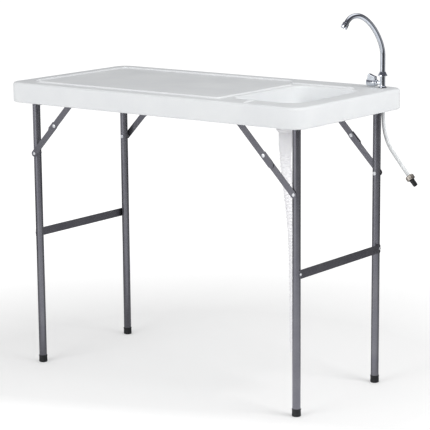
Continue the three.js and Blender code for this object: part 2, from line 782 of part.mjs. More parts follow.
function ribbedHoseGeometry() {
  const curve = curveInPlane(drainRoute, drainX, drainY);
  const length = curve.getLength();
  const pitch = (length - hosePlainTop - hosePlainEnd) / hoseRibs;
  const flareAt = (reach) => hoseFlare * Math.max(1 - reach / hoseFlareLength, 0);
  const ringAt = (reach, radius) => ringOnCurve(curve, length, reach, radius + flareAt(reach), hoseSides);
  const outside = [ringAt(0, hoseValleyRadius)];
  const bore = [ringAt(0, hoseBoreRadius)];
  for (let rib = 0; rib < hoseRibs; rib += 1) {
    const valley = hosePlainTop + rib * pitch;
    outside.push(ringAt(valley, hoseValleyRadius), ringAt(valley + pitch / 2, hoseRadius));
    if (rib % boreRingEvery === 0) bore.push(ringAt(valley, hoseBoreRadius));
  }
  outside.push(ringAt(length - hosePlainEnd, hoseValleyRadius), ringAt(length, hoseValleyRadius));
  bore.push(ringAt(length - hosePlainEnd, hoseBoreRadius), ringAt(length, hoseBoreRadius));
  return skinRings([...outside, ...bore.reverse()], true);
}

// Tap: its own group, with the deck at height zero
function tapBodyGeometry() {
  const foot = gasketHeight + seatGap * 2;
  const body = solidOf(turned([
    [0, -shankLength], [shankRadius, -shankLength], [shankRadius, foot], [tapFootRadius, foot],
    [tapFootRadius, foot + tapFootHeight / 2], [tapBodyRadius + tapFootHeight / 2, foot + tapFootHeight],
    [tapBodyRadius, foot + tapFootHeight], [tapBodyRadius, foot + tapBodyHeight],
    [0, foot + tapBodyHeight],
  ], tubeSides));
  const valve = turned([
    [0, 0], [valveNeckRadius, 0], [valveNeckRadius, valveNeckReach],
    [valveRadius, valveNeckReach + valveRadius - valveNeckRadius], [valveRadius, valveReach],
    [0, valveReach],
  ], tubeSides).rotateY(-Math.PI / 2).translate(0, 0, valveAxisHeight);
  const bore = rod(shankBore, -shankLength - overrun, foot + tapBodyHeight + overrun);
  return geometryOf(body.add(solidOf(valve)).subtract(solidOf(bore)));
}

function gasketGeometry() {
  const bore = shankRadius + pinClearance;
  return turned([
    [bore, seatGap], [gasketRadius, seatGap], [gasketRadius, seatGap + gasketHeight],
    [bore, seatGap + gasketHeight], [bore, seatGap],
  ], tubeSides);
}

function shankNutGeometry() {
  const top = -panelThickness - seatGap;
  const bottom = top - shankNutHeight;
  const hexagon = solidOf(rod(shankNutRadius, bottom, top, nutSides));
  return geometryOf(hexagon.subtract(solidOf(rod(shankRadius + pinClearance,
    bottom - overrun, top + overrun, tubeSides))));
}

// A long drum that ends the valve, with a wedge standing on it that rises to its outer end
function handleGeometry() {
  const from = valveReach + seatGap;
  const to = from + handleLength;
  const drum = solidOf(turned([
    [0, from], [handleRadius, from], [handleRadius, to - handleEdge],
    [handleRadius - handleEdge, to], [0, to],
  ], tubeSides).rotateY(-Math.PI / 2));
  const outline = new THREE.Shape();
  outline.moveTo(paddleSetback - to, 0);
  outline.lineTo(paddleSetback - to, handleRadius);
  outline.lineTo(paddleSetback + paddleLean - to, paddleOuterTop);
  outline.lineTo(-from, paddleInnerTop);
  outline.lineTo(-from, 0);
  const paddle = new THREE.ExtrudeGeometry(outline, { depth: paddleWidth, bevelEnabled: false })
    .rotateX(Math.PI / 2).translate(0, paddleWidth / 2, 0);
  return geometryOf(drum.add(solidOf(paddle)));
}

const collarBase = gasketHeight + seatGap * 2 + tapBodyHeight - collarSkirt;

function collarGeometry() {
  const inner = tapBodyRadius + seatGap;
  const outer = spoutRadius + seatGap;
  return turned([
    [inner, collarBase], [collarRadius, collarBase], [collarRadius, collarBase + collarSkirt / 2],
    [collarNeckRadius, collarBase + collarHeight], [outer, collarBase + collarHeight],
    [outer, collarBase + collarSkirt + seatGap], [inner, collarBase + collarSkirt + seatGap],
    [inner, collarBase],
  ], tubeSides);
}

// The spout rises straight, then bends over in two sweeps that meet level at the top
function spoutCurve() {
  const place = (reach, height) => new THREE.Vector3(
    -reach * Math.cos(spoutTurn), -reach * Math.sin(spoutTurn), height,
  );
  const start = collarBase + collarSkirt + seatGap;
  const tipReach = spoutApexReach + spoutTipOvershoot;
  const tipHeight = spoutApexHeight - spoutTipDrop;
  const tipDirection = new THREE.Vector2(-Math.cos(spoutTipSteepness), Math.sin(spoutTipSteepness))
    .multiplyScalar(spoutTipPull);
  const path = new THREE.CurvePath();
  path.add(new THREE.LineCurve3(place(0, start), place(0, spoutStraight)));
  path.add(new THREE.CubicBezierCurve3(place(0, spoutStraight),
    place(0, spoutStraight + spoutSpring), place(spoutApexReach - spoutApexPull, spoutApexHeight),
    place(spoutApexReach, spoutApexHeight)));
  path.add(new THREE.CubicBezierCurve3(place(spoutApexReach, spoutApexHeight),
    place(spoutApexReach + spoutApexPull / 2, spoutApexHeight),
    place(tipReach + tipDirection.x, tipHeight + tipDirection.y),
    place(tipReach, tipHeight)));
  return path;
}

function ringShape(radius, bore) {
  const shape = new THREE.Shape();
  shape.absarc(0, 0, radius, 0, Math.PI * 2);
  shape.holes.push(holeAt(0, 0, bore));
  return shape;
}

// A full circle gets two points for each curve segment
function pipeAlong(curve, radius, bore, steps, sides) {
  return new THREE.ExtrudeGeometry(ringShape(radius, bore), {
    steps, extrudePath: curve, curveSegments: sides / 2, bevelEnabled: false,
  });
}

// The grip is a little wide, because the spout still bends inside it
function aeratorGeometry() {
  const grip = spoutRadius + seatGap * 2;
  return turned([
    [grip, -aeratorGrip], [aeratorRadius, -aeratorGrip], [aeratorRadius, aeratorLength - aeratorGrip],
    [aeratorBore, aeratorLength - aeratorGrip], [aeratorBore, seatGap], [grip, seatGap],
    [grip, -aeratorGrip],
  ], tubeSides);
}

// The supply hose leaves the shank downwards and swings out to the right. Points are the distance to
// the right of the tap and the height above the floor.
const supplyStart = topHeight - shankLength - seatGap;
const supplyRoute = [
  [0, supplyStart], [0, 882], [1.3, 870], [3, 858], [4.2, 845], [5.3, 832], [7, 818.5],
  [9.6, 805.5], [13.3, 792], [18.5, 778], [25.5, 763.5], [33.4, 751.5], [41.6, 741], [50.3, 730.2],
  [59.5, 719], [68.6, 708], [77.8, 697], [87.4, 686], [98.6, 673.5],
];

function alongDirection(geometry, direction, point, reach) {
  const turn = new THREE.Quaternion().setFromUnitVectors(new THREE.Vector3(0, 0, 1), direction);
  return geometry.applyQuaternion(turn)
    .translate(point.x + direction.x * reach, point.y + direction.y * reach,
      point.z + direction.z * reach);
}

function inletGeometry() {
  const collar = inletLength / 4;
  return turned([
    [0, 0], [inletRadius - seatGap, 0], [inletRadius - seatGap, inletLength / 2],
    [inletRadius, inletLength / 2], [inletRadius, inletLength / 2 + collar],
    [inletRadius - seatGap, inletLength / 2 + collar], [inletRadius - seatGap, inletLength],
    [0, inletLength],
  ], smallSides);
}

function swivelNutGeometry() {
  const edge = swivelNutLength / 5;
  return turned([
    [swivelNutBore, 0], [swivelNutRadius - edge, 0], [swivelNutRadius, edge],
    [swivelNutRadius, swivelNutLength - edge], [swivelNutRadius - edge, swivelNutLength],
    [swivelNutBore, swivelNutLength], [swivelNutBore, 0],
  ], smallSides);
}

function addTap() {
  const tap = new THREE.Group();
  tap.position.set(tapX, tapY, topHeight);
  table.add(tap);
  addPiece(tap, 'tap_gasket', gasketGeometry(), blackRubber);
  addPiece(tap, 'tap_body', tapBodyGeometry(), chromePlate);
  addPiece(tap, 'tap_shank_nut', shankNutGeometry(), brassPlate);
  addPiece(tap, 'tap_handle', handleGeometry(), chromePlate, [0, 0, valveAxisHeight]);
  addPiece(tap, 'spout_collar', collarGeometry(), chromePlate);
  const curve = spoutCurve();
  addPiece(tap, 'spout', pipeAlong(curve, spoutRadius, spoutRadius - spoutWall, spoutSteps,
    spoutSides), chromePlate);
  const tip = curve.getPointAt(1);
  const direction = curve.getTangentAt(1);
  addPiece(tap, 'aerator', alongDirection(aeratorGeometry(), direction, tip, 0), chromePlate);
}

function addSupplyHose() {
  const curve = curveInPlane(supplyRoute, tapX, tapY);
  const point = curve.getPointAt(1);
  const direction = curve.getTangentAt(1);
  addPiece(table, 'supply_hose', pipeAlong(curve, supplyRadius, supplyBore, supplySteps,
    hoseSides), hoseWhite);
  addPiece(table, 'hose_inlet',
    alongDirection(inletGeometry(), direction, point, seatGap), blackRubber);
  addPiece(table, 'hose_swivel_nut',
    alongDirection(swivelNutGeometry(), direction, point, seatGap), brassPlate);
}

function addDrain() {
  const drain = new THREE.Group();
  drain.position.set(drainX, drainY, basinFloor);
  table.add(drain);
  addPiece(drain, 'drain_strainer', strainerGeometry(), chromePlate);
  addPiece(drain, 'drain_lock_nut', lockNutGeometry(), hoseGrey);
  addPiece(drain, 'drain_sleeve', sleeveGeometry(), hoseGrey);
  addPiece(table, 'drain_hose', ribbedHoseGeometry(), hoseGrey);
}

const table = new THREE.Group();
addPiece(table, 'tabletop', tabletopGeometry(), mouldedWhite);
addFrame('right', 1, rightPivotDrop, rightBraceDrop, rightBraceReach, rightBracketDrop,
  rightLowerLink, rightKneeTail);
addFrame('left', -1, leftPivotDrop, leftBraceDrop, leftBraceReach, leftBracketDrop,
  leftLowerLink, leftKneeTail);
addDrain();
addTap();
addSupplyHose();

export default table;
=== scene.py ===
# %% [markdown]
# # A folding fish cleaning table
# The real thing is a blow-moulded plastic top with a sink pressed into it, two steel leg frames that
# fold flat under it, a gooseneck tap and a ribbed drain hose. The solids come from CAD, and this
# lesson dresses them: every visible form is a surface worked out with numpy, and every finish is a
# node material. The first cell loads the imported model, which fixes where everything sits.

# %% Load the frame
import math
import bmesh
import bpy
import numpy as np
from mathutils import Matrix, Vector
from mathutils.geometry import tessellate_polygon


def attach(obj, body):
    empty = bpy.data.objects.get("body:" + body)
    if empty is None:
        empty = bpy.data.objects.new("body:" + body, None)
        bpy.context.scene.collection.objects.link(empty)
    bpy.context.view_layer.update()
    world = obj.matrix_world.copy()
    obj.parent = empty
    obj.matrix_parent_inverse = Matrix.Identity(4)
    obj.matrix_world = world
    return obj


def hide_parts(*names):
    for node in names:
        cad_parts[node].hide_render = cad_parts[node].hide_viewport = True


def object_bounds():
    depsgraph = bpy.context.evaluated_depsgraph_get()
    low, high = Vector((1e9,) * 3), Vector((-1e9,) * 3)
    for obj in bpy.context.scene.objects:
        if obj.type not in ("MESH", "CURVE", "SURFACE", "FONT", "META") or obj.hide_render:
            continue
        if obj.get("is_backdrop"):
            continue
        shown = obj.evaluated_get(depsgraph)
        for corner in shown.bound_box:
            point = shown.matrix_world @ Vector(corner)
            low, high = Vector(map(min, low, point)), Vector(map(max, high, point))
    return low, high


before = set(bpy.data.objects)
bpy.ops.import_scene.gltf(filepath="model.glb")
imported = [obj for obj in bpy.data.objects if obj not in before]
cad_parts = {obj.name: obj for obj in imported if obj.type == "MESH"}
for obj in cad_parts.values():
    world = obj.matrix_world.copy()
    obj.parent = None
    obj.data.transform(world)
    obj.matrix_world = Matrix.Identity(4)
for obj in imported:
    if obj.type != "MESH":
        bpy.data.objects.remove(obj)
cad_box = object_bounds()
MM = 0.001

# %% [markdown]
# ## The camera
# A product photo is taken from far away with a long lens, so the lines hardly converge. The place of
# the camera was solved from the picture: it looks along a bearing of 37 degrees, 11 degrees down,
# and the frame is shifted a little sideways, which here moves the camera, not its lens.

# %% Camera
AZIMUTH, ELEVATION, ROLL = math.radians(37.25), math.radians(11.24), math.radians(-0.47)
TARGET = np.array([0.0, 0.0, 0.470])
DISTANCE, SIDE_STEP, UP_STEP = 5.73909, 0.03575, 0.04914
LENS, SENSOR = 149.7, 36.0

back = np.array([math.sin(AZIMUTH) * math.cos(ELEVATION), -math.cos(AZIMUTH) * math.cos(ELEVATION),
                 math.sin(ELEVATION)])
right = np.cross(-back, (0, 0, 1))
right /= np.linalg.norm(right)
up = np.cross(right, -back)
rolled_right = math.cos(ROLL) * right + math.sin(ROLL) * up
rolled_up = -math.sin(ROLL) * right + math.cos(ROLL) * up
place = TARGET + back * DISTANCE + rolled_right * SIDE_STEP + rolled_up * UP_STEP

lens = bpy.data.cameras.new("camera")
lens.lens, lens.sensor_width = LENS, SENSOR
lens.clip_start, lens.clip_end = 0.1, 60
camera = bpy.data.objects.new("camera", lens)
pose = np.eye(4)
pose[:3, 0], pose[:3, 1], pose[:3, 2], pose[:3, 3] = rolled_right, rolled_up, back, place
camera.matrix_world = Matrix(pose)
bpy.context.scene.collection.objects.link(camera)
bpy.context.scene.camera = camera
bpy.context.scene.view_settings.view_transform = "Standard"
print("camera at", place.round(3))

# %% [markdown]
# ## Nodes and colours
# A material is a small graph. One function adds a node, sets its values and joins its inputs, so
# each graph below reads as a list of what it is made of. Colours are written as the sRGB hex that a
# paint chart would give, and one function turns them into the linear numbers that light obeys. All
# the finishes share one plan: a slow noise lets colour and roughness drift, and noises are its bump.

# %% Node and colour helpers
def linear(code):
    """sRGB hex to linear RGB: c / 12.92 below 0.04045, and ((c + 0.055) / 1.055) ** 2.4 above."""
    c = np.array([int(code[at:at + 2], 16) for at in (0, 2, 4)]) / 255
    return tuple(np.where(c <= 0.04045, c / 12.92, ((c + 0.055) / 1.055) ** 2.4)) + (1.0,)


def add(tree, kind, values=None, links=None, **settings):
    """Adds a node: settings are its own, values go to input sockets, links join sockets to them."""
    node = tree.nodes.new(kind)
    for name, value in settings.items():
        setattr(node, name, value)
    for name, value in (values or {}).items():
        node.inputs[name].default_value = value
    for name, output in (links or {}).items():
        tree.links.new(output, node.inputs[name])
    return node


def blank(name):
    """A material with an empty graph, its output socket and the point on the object in metres."""
    material = bpy.data.materials.new(name)
    material.use_nodes = True
    tree = material.node_tree
    tree.nodes.clear()
    surface = add(tree, "ShaderNodeOutputMaterial").inputs["Surface"]
    return material, tree, surface, add(tree, "ShaderNodeTexCoord").outputs["Object"]


def finish(name, colours, roughness, drift, bumps=(), sockets=None):
    """Colour and roughness run between their two ends with a noise, and bumps are laid over each
    other. A noise is [feature size in metres, detail]; a bump adds its strength and its depth."""
    material, tree, surface, point = blank(name)
    noises = [add(tree, "ShaderNodeTexNoise", {"Scale": 1 / noise[0], "Detail": noise[1]},
                  {"Vector": point}) for noise in (drift, *bumps)]
    slow, *patterns = [noise.outputs["Fac"] for noise in noises]
    ramp = add(tree, "ShaderNodeValToRGB", links={"Fac": slow})
    for stop, position, code in zip(ramp.color_ramp.elements, (0.3, 0.7), colours):
        stop.position, stop.color = position, linear(code)
    rough = add(tree, "ShaderNodeMapRange", {"To Min": roughness[0], "To Max": roughness[1]},
                {"Value": slow})
    links = {"Base Color": ramp.outputs["Color"], "Roughness": rough.outputs["Result"]}
    normal = {}
    for pattern, (strength, depth) in zip(patterns, (bump[2:] for bump in bumps)):
        bump = add(tree, "ShaderNodeBump", {"Strength": strength, "Distance": depth},
                   {"Height": pattern, **normal})
        normal = {"Normal": bump.outputs["Normal"]}
    shader = add(tree, "ShaderNodeBsdfPrincipled", sockets, {**links, **normal})
    tree.links.new(shader.outputs[0], surface)
    return material


print("mid grey, 808080, in linear light:", round(float(linear("808080")[0]), 3))

# %% [markdown]
# ## Moulded polyethylene
# The top is high-density polyethylene blown into a mould. It is off-white all through, waxy rather
# than glossy, and the mould leaves a fine leathery grain and very slow waves in the big flat faces.
# Its IOR is 1.54. The grain of about a millimetre is a bump, and the roughness drifts a little where
# hands and water have polished it.

# %% Moulded polyethylene
WAVES = (0.11, 3.0)
WHITE = finish("moulded_polyethylene", ("E3E5E7", "E8EAEB"), (0.42, 0.52), WAVES,
               [(*WAVES, 0.25, 0.0012), (0.0012, 2.0, 0.12, 0.0003)], {"IOR": 1.54})
print("white, in linear light:", [round(float(c), 3) for c in linear("E3E5E7")[:3]])

# %% [markdown]
# ## Powder coat
# The legs are steel tube under a dark grey powder coat with metal flake in it. The powder melts into
# a skin with a faint orange peel of one or two millimetres, half glossy, with an IOR of 1.5. The
# flake makes it part metal, so tubes catch one long highlight and darken towards their edges.

# %% Powder coat
STEEL = finish("powder_coated_steel", ("7C7B81", "868589"), (0.22, 0.28), (0.06, 2.0),
               [(0.0016, 1.0, 0.18, 0.0003)], {"IOR": 1.5, "Metallic": 0.88})
print("steel, in linear light:", [round(float(c), 3) for c in linear("7C7B81")[:3]])

# %% [markdown]
# ## Plated metals
# Chrome on brass is a mirror with a hint of blue, zinc on the rivets is bright but cloudy, and the
# hose nut is brass under nickel, warmer than chrome. One function makes all three, and each keeps a
# metal's default IOR. Zinc is made only part metal, so that the small heads read as pale as they are.

# %% Plated metals
def plated(name, colours, roughness, mark, metallic=1.0):
    """A metal whose colour, roughness and bump drift with one noise of the size mark, in metres."""
    return finish(name, colours, roughness, (mark, 3.0), [(mark, 3.0, 0.05, 0.0001)],
                  {"Metallic": metallic})


CHROME = plated("chrome_plated_brass", ("DADEE5", "E6E9EE"), (0.04, 0.09), 0.02)
ZINC = plated("zinc_plated_steel", ("E4E6E8", "F0F1F2"), (0.35, 0.45), 0.004, metallic=0.6)
BRASS = plated("nickel_plated_brass", ("B9B0A4", "CCC4B8"), (0.2, 0.32), 0.003)
print("plated metals:", CHROME.name, ZINC.name, BRASS.name)

# %% [markdown]
# ## Rubber and plastics
# The feet are black moulded rubber, dull and slightly dusty. The supply hose's end piece and the
# tap's outlet screen are black nylon, a touch glossier. Both hoses, the drain's nut and its sleeve
# are soft vinyl: pale, smooth and a little see-through, which subsurface scattering gives.

# %% Rubber and plastics
def moulded_black(name, colours, roughness):
    """Black rubber or nylon: nearly flat colour, with a fine pebble of half a millimetre."""
    return finish(name, colours, roughness, (0.008, 2.0), [(0.0006, 1.0, 0.2, 0.0002)], {"IOR": 1.5})


def soft_vinyl(name, colours):
    """Pale flexible vinyl, in which light travels about two millimetres, alike for all colours."""
    return finish(name, colours, (0.3, 0.4), (0.012, 2.0), sockets={
        "IOR": 1.53, "Subsurface Weight": 0.2, "Subsurface Radius": (1, 1, 1), "Subsurface Scale": 0.002})


RUBBER = moulded_black("moulded_rubber", ("1C1D1F", "26282A"), (0.6, 0.75))
NYLON = moulded_black("black_nylon", ("17181A", "202224"), (0.32, 0.45))
VINYL_GREY = soft_vinyl("soft_vinyl_pale_grey", ("F8F7FB", "FCFBFD"))
VINYL_WHITE = soft_vinyl("soft_vinyl_white", ("DCDFE0", "E6E8E9"))

# %% [markdown]
# ## Surfaces from arrays
# Most of the pieces are grids: a row of rings, each ring with equally many points. Joining each
# point to its neighbours gives the faces, and where a row shrinks to one point the doubles are
# merged, which closes the pole. Closed shells have their normals turned outwards, and edges sharper
# than about 35 degrees stay crisp while the rest is shaded smooth.

# %% Grid and piece helpers
def grid_faces(rows, columns, loop_rows=False, loop_columns=True):
    """Point (r, c) is joined to (r, c+1), (r+1, c+1) and (r+1, c), wrapping where it loops."""
    r, c = np.meshgrid(np.arange(rows - (not loop_rows)), np.arange(columns - (not loop_columns)),
                       indexing="ij")
    r1, c1 = (r + 1) % rows, (c + 1) % columns
    corners = [r * columns + c, r * columns + c1, r1 * columns + c1, r1 * columns + c]
    return np.stack(corners, axis=-1).reshape(-1, 4)


def make_piece(name, points, faces, material, body="tabletop", replaces=None, crisp=35.0, bevel=0.0):
    """Points and faces become one closed mesh that rides on a body and takes its material's slot."""
    mesh = bpy.data.meshes.new(name)
    mesh.from_pydata(np.asarray(points).reshape(-1, 3).tolist(), [], [list(f) for f in faces])
    build = bmesh.new()
    build.from_mesh(mesh)
    bmesh.ops.remove_doubles(build, verts=build.verts, dist=2e-6)
    bmesh.ops.dissolve_degenerate(build, edges=build.edges, dist=1e-6)
    bmesh.ops.recalc_face_normals(build, faces=build.faces)
    build.to_mesh(mesh)
    build.free()
    mesh.polygons.foreach_set("use_smooth", np.ones(len(mesh.polygons), bool))
    mesh.set_sharp_from_angle(angle=math.radians(crisp))
    mesh.materials.append(material)
    piece = bpy.data.objects.new(name, mesh)
    bpy.context.scene.collection.objects.link(piece)
    if bevel:
        soften = piece.modifiers.new("edges", "BEVEL")
        soften.width, soften.segments = bevel, 2
        soften.limit_method, soften.angle_limit = "ANGLE", math.radians(crisp)
        soften.harden_normals = True
    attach(piece, body)
    if replaces:
        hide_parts(replaces)
    return piece


def skinned(name, rings, material, body="tabletop", loop=False, **more):
    """Rings of equal count become one surface. Open rows are closed by a point at each end."""
    rings = np.asarray(rings)
    if not loop:
        ends = [np.repeat(rings[at].mean(axis=0)[None], rings.shape[1], axis=0) for at in (0, -1)]
        rings = np.concatenate([ends[0][None], rings, ends[1][None]])
    faces = grid_faces(rings.shape[0], rings.shape[1], loop_rows=loop)
    return make_piece(name, rings, faces, material, body, **more)


def unit(vector):
    vector = np.asarray(vector, float)
    return vector / np.linalg.norm(vector, axis=-1, keepdims=True)


def turned_points(profile, base, axis, sides=32, lobes=None):
    """Each [radius, height] pair is carried round the axis: base + height * axis + radius * (cos, sin).
    lobes(angle, height) scales the radius, for knurls and flats."""
    profile = np.asarray(profile, float)
    axis = unit(axis)
    first = unit(np.cross(axis, (0.3, 1, 0) if abs(axis[1]) < 0.9 else (1, 0, 0.3)))
    second = np.cross(axis, first)
    angle = np.linspace(0, 2 * math.pi, sides, endpoint=False)
    radius = profile[:, :1] * np.ones_like(angle)
    if lobes is not None:
        radius = radius * lobes(angle[None, :], profile[:, 1:])
    ring = np.cos(angle)[:, None] * first + np.sin(angle)[:, None] * second
    return np.asarray(base) + profile[:, 1, None, None] * axis + radius[..., None] * ring


def softened(profile, radius, steps=3, loop=False):
    """Rounds each corner of a profile with a short curve: (1-t)^2 a + 2t(1-t) corner + t^2 b. The
    curve starts at most 0.45 of the way to each neighbour."""
    p = np.asarray(profile, float)

    def towards_neighbour(step):
        way = np.roll(p, step, axis=0) - p
        length = np.linalg.norm(way, axis=1, keepdims=True)
        return p + way / np.maximum(length, 1e-9) * np.minimum(radius, length * 0.45)

    a, b = towards_neighbour(1), towards_neighbour(-1)
    t = np.linspace(0, 1, steps + 1)[None, :, None]
    arcs = (1 - t) ** 2 * a[:, None] + 2 * t * (1 - t) * p[:, None] + t ** 2 * b[:, None]
    if loop:
        return arcs.reshape(-1, p.shape[1])
    return np.concatenate([p[:1], arcs[1:-1].reshape(-1, p.shape[1]), p[-1:]])


def turned(name, profile, base, axis, material, body="tabletop", loop=False, soft=0.0, sides=32,
           lobes=None, **more):
    """A lathe piece, in millimetres. Profiles that start and end on the axis are closed there."""
    shape = softened(profile, soft, loop=loop) if soft else np.asarray(profile, float)
    points = turned_points(shape * MM, np.asarray(base) * MM, axis, sides, lobes)
    faces = grid_faces(points.shape[0], sides, loop_rows=loop)
    return make_piece(name, points, faces, material, body, **more)


def plate(name, outline, holes, origin, across, upwards, thickness, material, body="tabletop", **more):
    """A flat outline with holes, in millimetres, given a thickness along across x upwards."""
    across, upwards = unit(across), unit(upwards)
    through = np.cross(across, upwards)
    loops = [np.asarray(loop, float) for loop in [outline, *holes]]
    flat = np.concatenate(loops)
    base = np.asarray(origin) + flat[:, :1] * across + flat[:, 1:] * upwards
    count = len(flat)
    points = np.concatenate([base, base + thickness * through]) * MM
    cap = np.array(tessellate_polygon([[(x, y, 0.0) for x, y in loop] for loop in loops]))
    faces = [list(f) for f in cap] + [list(f[::-1] + count) for f in cap]
    start = 0
    for loop in loops:
        here = start + np.arange(len(loop))
        there = start + (np.arange(len(loop)) + 1) % len(loop)
        faces += np.stack([here, there, there + count, here + count], axis=1).tolist()
        start += len(loop)
    return make_piece(name, points, faces, material, body, **more)


def arc(x, y, radius, start, end, steps=12):
    """Points on a circle between two angles in degrees."""
    angle = np.radians(np.linspace(start, end, steps + 1))
    return np.stack([x + radius * np.cos(angle), y + radius * np.sin(angle)], axis=1)


def hole(x, y, radius, steps=20):
    return arc(x, y, radius, 0, 360, steps)[:-1]


print("3 rings of 4 points make", len(grid_faces(3, 4)), "faces")

# %% [markdown]
# ## The hoses
# A hose is a fixed length of something springy. Its middle line is a smooth curve through measured
# points, and the tube is a ring carried along it. The curve is a centripetal Catmull-Rom spline, the
# kind that never loops back between uneven points. The drain hose is corrugated: its radius swells
# and shrinks along its length with a pitch of about ten millimetres, and it is a little wider at the
# top, where it leaves its sleeve.

# %% Curves for the hoses
DRAIN_X, DRAIN_Y, TAP_X, TAP_Y, TOP = 353.0, -48.0, 515.0, 244.0, 940.0
drain_route = np.array([
    [0, 763.1], [0, 740], [1.4, 722], [4.2, 700], [7.5, 675], [11, 650], [15, 622], [19.5, 592],
    [23.4, 562], [26.7, 530], [29.5, 495], [31.6, 455], [33.3, 410], [34.5, 360], [35.2, 310],
    [35.5, 262], [35.7, 222], [35.8, 192], [35.8, 166], [35.8, 139]])
supply_route = np.array([
    [0, 887.7], [0, 882], [1.3, 870], [3, 858], [4.2, 845], [5.3, 832], [7, 818.5], [9.6, 805.5],
    [13.3, 792], [18.5, 778], [25.5, 763.5], [33.4, 751.5], [41.6, 741], [50.3, 730.2], [59.5, 719],
    [68.6, 708], [77.8, 697], [87.4, 686], [98.6, 673.5]])


def smooth_line(points, per_span=24):
    """Centripetal Catmull-Rom: knots are spaced by the square root of the chord, and each span is a
    cubic with the tangents that those knots give."""
    p = np.concatenate([[2 * points[0] - points[1]], points, [2 * points[-1] - points[-2]]])
    gap = np.sqrt(np.linalg.norm(np.diff(p, axis=0), axis=1))[:, None]
    a, b, c, d = p[:-3], p[1:-2], p[2:-1], p[3:]
    g0, g1, g2 = gap[:-2], gap[1:-1], gap[2:]
    m1 = ((b - a) / g0 - (c - a) / (g0 + g1) + (c - b) / g1) * g1
    m2 = ((c - b) / g1 - (d - b) / (g1 + g2) + (d - c) / g2) * g1
    t = np.linspace(0, 1, per_span, endpoint=False)[None, :, None]
    b, c, m1, m2 = (v[:, None] for v in (b, c, m1, m2))
    spans = (b + m1 * t + (3 * (c - b) - 2 * m1 - m2) * t ** 2 + (2 * (b - c) + m1 + m2) * t ** 3)
    return np.concatenate([spans.reshape(-1, points.shape[1]), points[-1:]])


def even(line, count):
    """The same line with its points spread evenly by length."""
    run = np.concatenate([[0], np.cumsum(np.linalg.norm(np.diff(line, axis=0), axis=1))])
    wanted = np.linspace(0, run[-1], count)
    return np.stack([np.interp(wanted, run, line[:, at]) for at in range(line.shape[1])], axis=1), run[-1]


def in_plane(route, x, y):
    """[distance to the right, height] pairs in millimetres become points in metres."""
    return np.stack([x + route[:, 0], np.full(len(route), y), route[:, 1]], axis=1) * MM


def tube_rings(line, radii, sides):
    """A ring at each point: centre + radius * (cos * sideways + sin * across), square to the line."""
    along = unit(np.gradient(line, axis=0))
    across = np.array([0.0, 1.0, 0.0])
    sideways = unit(np.cross(along, across))
    across = np.cross(sideways, along)
    angle = np.linspace(0, 2 * math.pi, sides, endpoint=False)
    spread = (np.cos(angle)[None, :, None] * sideways[:, None] + np.sin(angle)[None, :, None]
              * across[:, None])
    return line[:, None] + np.broadcast_to(radii, len(line))[:, None, None] * spread


def hollow_tube(line, radii, bore, sides):
    """The outside's rings down the line, then the bore's rings back up, which close into one wall."""
    return np.concatenate([tube_rings(line, radii, sides), tube_rings(line, bore, sides)[::-1]])


print("routes of", len(drain_route), "and", len(supply_route), "points")

# %% The ribbed drain hose
CREST, VALLEY, BORE, RIBS, PER_RIB, PLAIN_RINGS = 17.2, 15.1, 13.2, 56, 8, 9
PLAIN_TOP, PLAIN_END = 5.0, 34.0
FLARE, FLARE_LENGTH = 2.0, 34.0
drain_line, drain_length = even(smooth_line(in_plane(drain_route, DRAIN_X, DRAIN_Y)),
                                RIBS * PER_RIB + PLAIN_RINGS)
reach = np.linspace(0, drain_length / MM, len(drain_line))
pitch = (drain_length / MM - PLAIN_TOP - PLAIN_END) / RIBS
phase = (reach - PLAIN_TOP) / pitch
swell = np.clip(0.5 - 0.62 * np.cos(2 * math.pi * phase), 0, 1) ** 0.8
ribbed = (phase > 0) & (phase < RIBS)
flare = FLARE * np.clip(1 - reach / FLARE_LENGTH, 0, 1)
outside = (np.where(ribbed, VALLEY + (CREST - VALLEY) * swell, VALLEY) + flare) * MM
drain_hose = skinned("ribbed_drain_hose", hollow_tube(drain_line, outside, BORE * MM, 36), VINYL_GREY,
                     loop=True, replaces="drain_hose", crisp=50)
print("drain hose", round(float(drain_length), 4), "m, pitch", round(float(pitch), 2), "mm")

# %% [markdown]
# ## The supply hose and its nut
# The thin white hose springs out sideways from under the tap. On its end sits a black nylon end piece
# and a pale brass nut that turns by hand, so its rim is knurled. The knurl is a ripple in the radius.

# %% Supply hose, end piece and nut
TUBE_RADIUS, TUBE_BORE, KNURLS, NUT_MIDDLE = 5.8, 3.6, 28, 7.8
supply_line, supply_length = even(smooth_line(in_plane(supply_route, TAP_X, TAP_Y)), 90)
supply_hose = skinned("supply_hose_tube", hollow_tube(supply_line, TUBE_RADIUS * MM, TUBE_BORE * MM, 24),
                      VINYL_WHITE, loop=True, replaces="supply_hose", crisp=50)
hose_way = unit(supply_line[-1] - supply_line[-2])
hose_end = supply_line[-1] / MM
end_piece = turned(
    "hose_end_piece",
    [[0, 0.3], [7.7, 0.3], [7.7, 19], [8, 19.6], [8, 22], [6.9, 24.4], [7.9, 25], [8, 27.6], [6.9, 30],
     [7.7, 30.6], [7.6, 33], [6.6, 38.3], [4.2, 38.3], [4.0, 24], [0, 24]],
    hose_end, hose_way, NYLON, replaces="hose_inlet", soft=0.5)


def knurl(angle, height):
    """28 small ridges round the rim, which fade out towards the nut's two ends."""
    from_middle = np.abs(height / MM - NUT_MIDDLE) / 7.5
    return 1 + 0.022 * np.cos(KNURLS * angle) * np.clip(1.3 - from_middle * 1.6, 0, 1)


swivel_nut = turned(
    "knurled_hose_nut",
    [[8.6, 0.3], [11, 0.3], [13.2, 2.4], [13.6, 4], [13.6, 8], [13.6, 11.6], [13.2, 13.2], [11, 15.3],
     [8.6, 15.3]],
    hose_end, hose_way, BRASS, "swivel_nut", loop=True, sides=168, lobes=knurl,
    replaces="hose_swivel_nut", soft=0.4)
print("supply hose", round(float(supply_length), 4), "m")

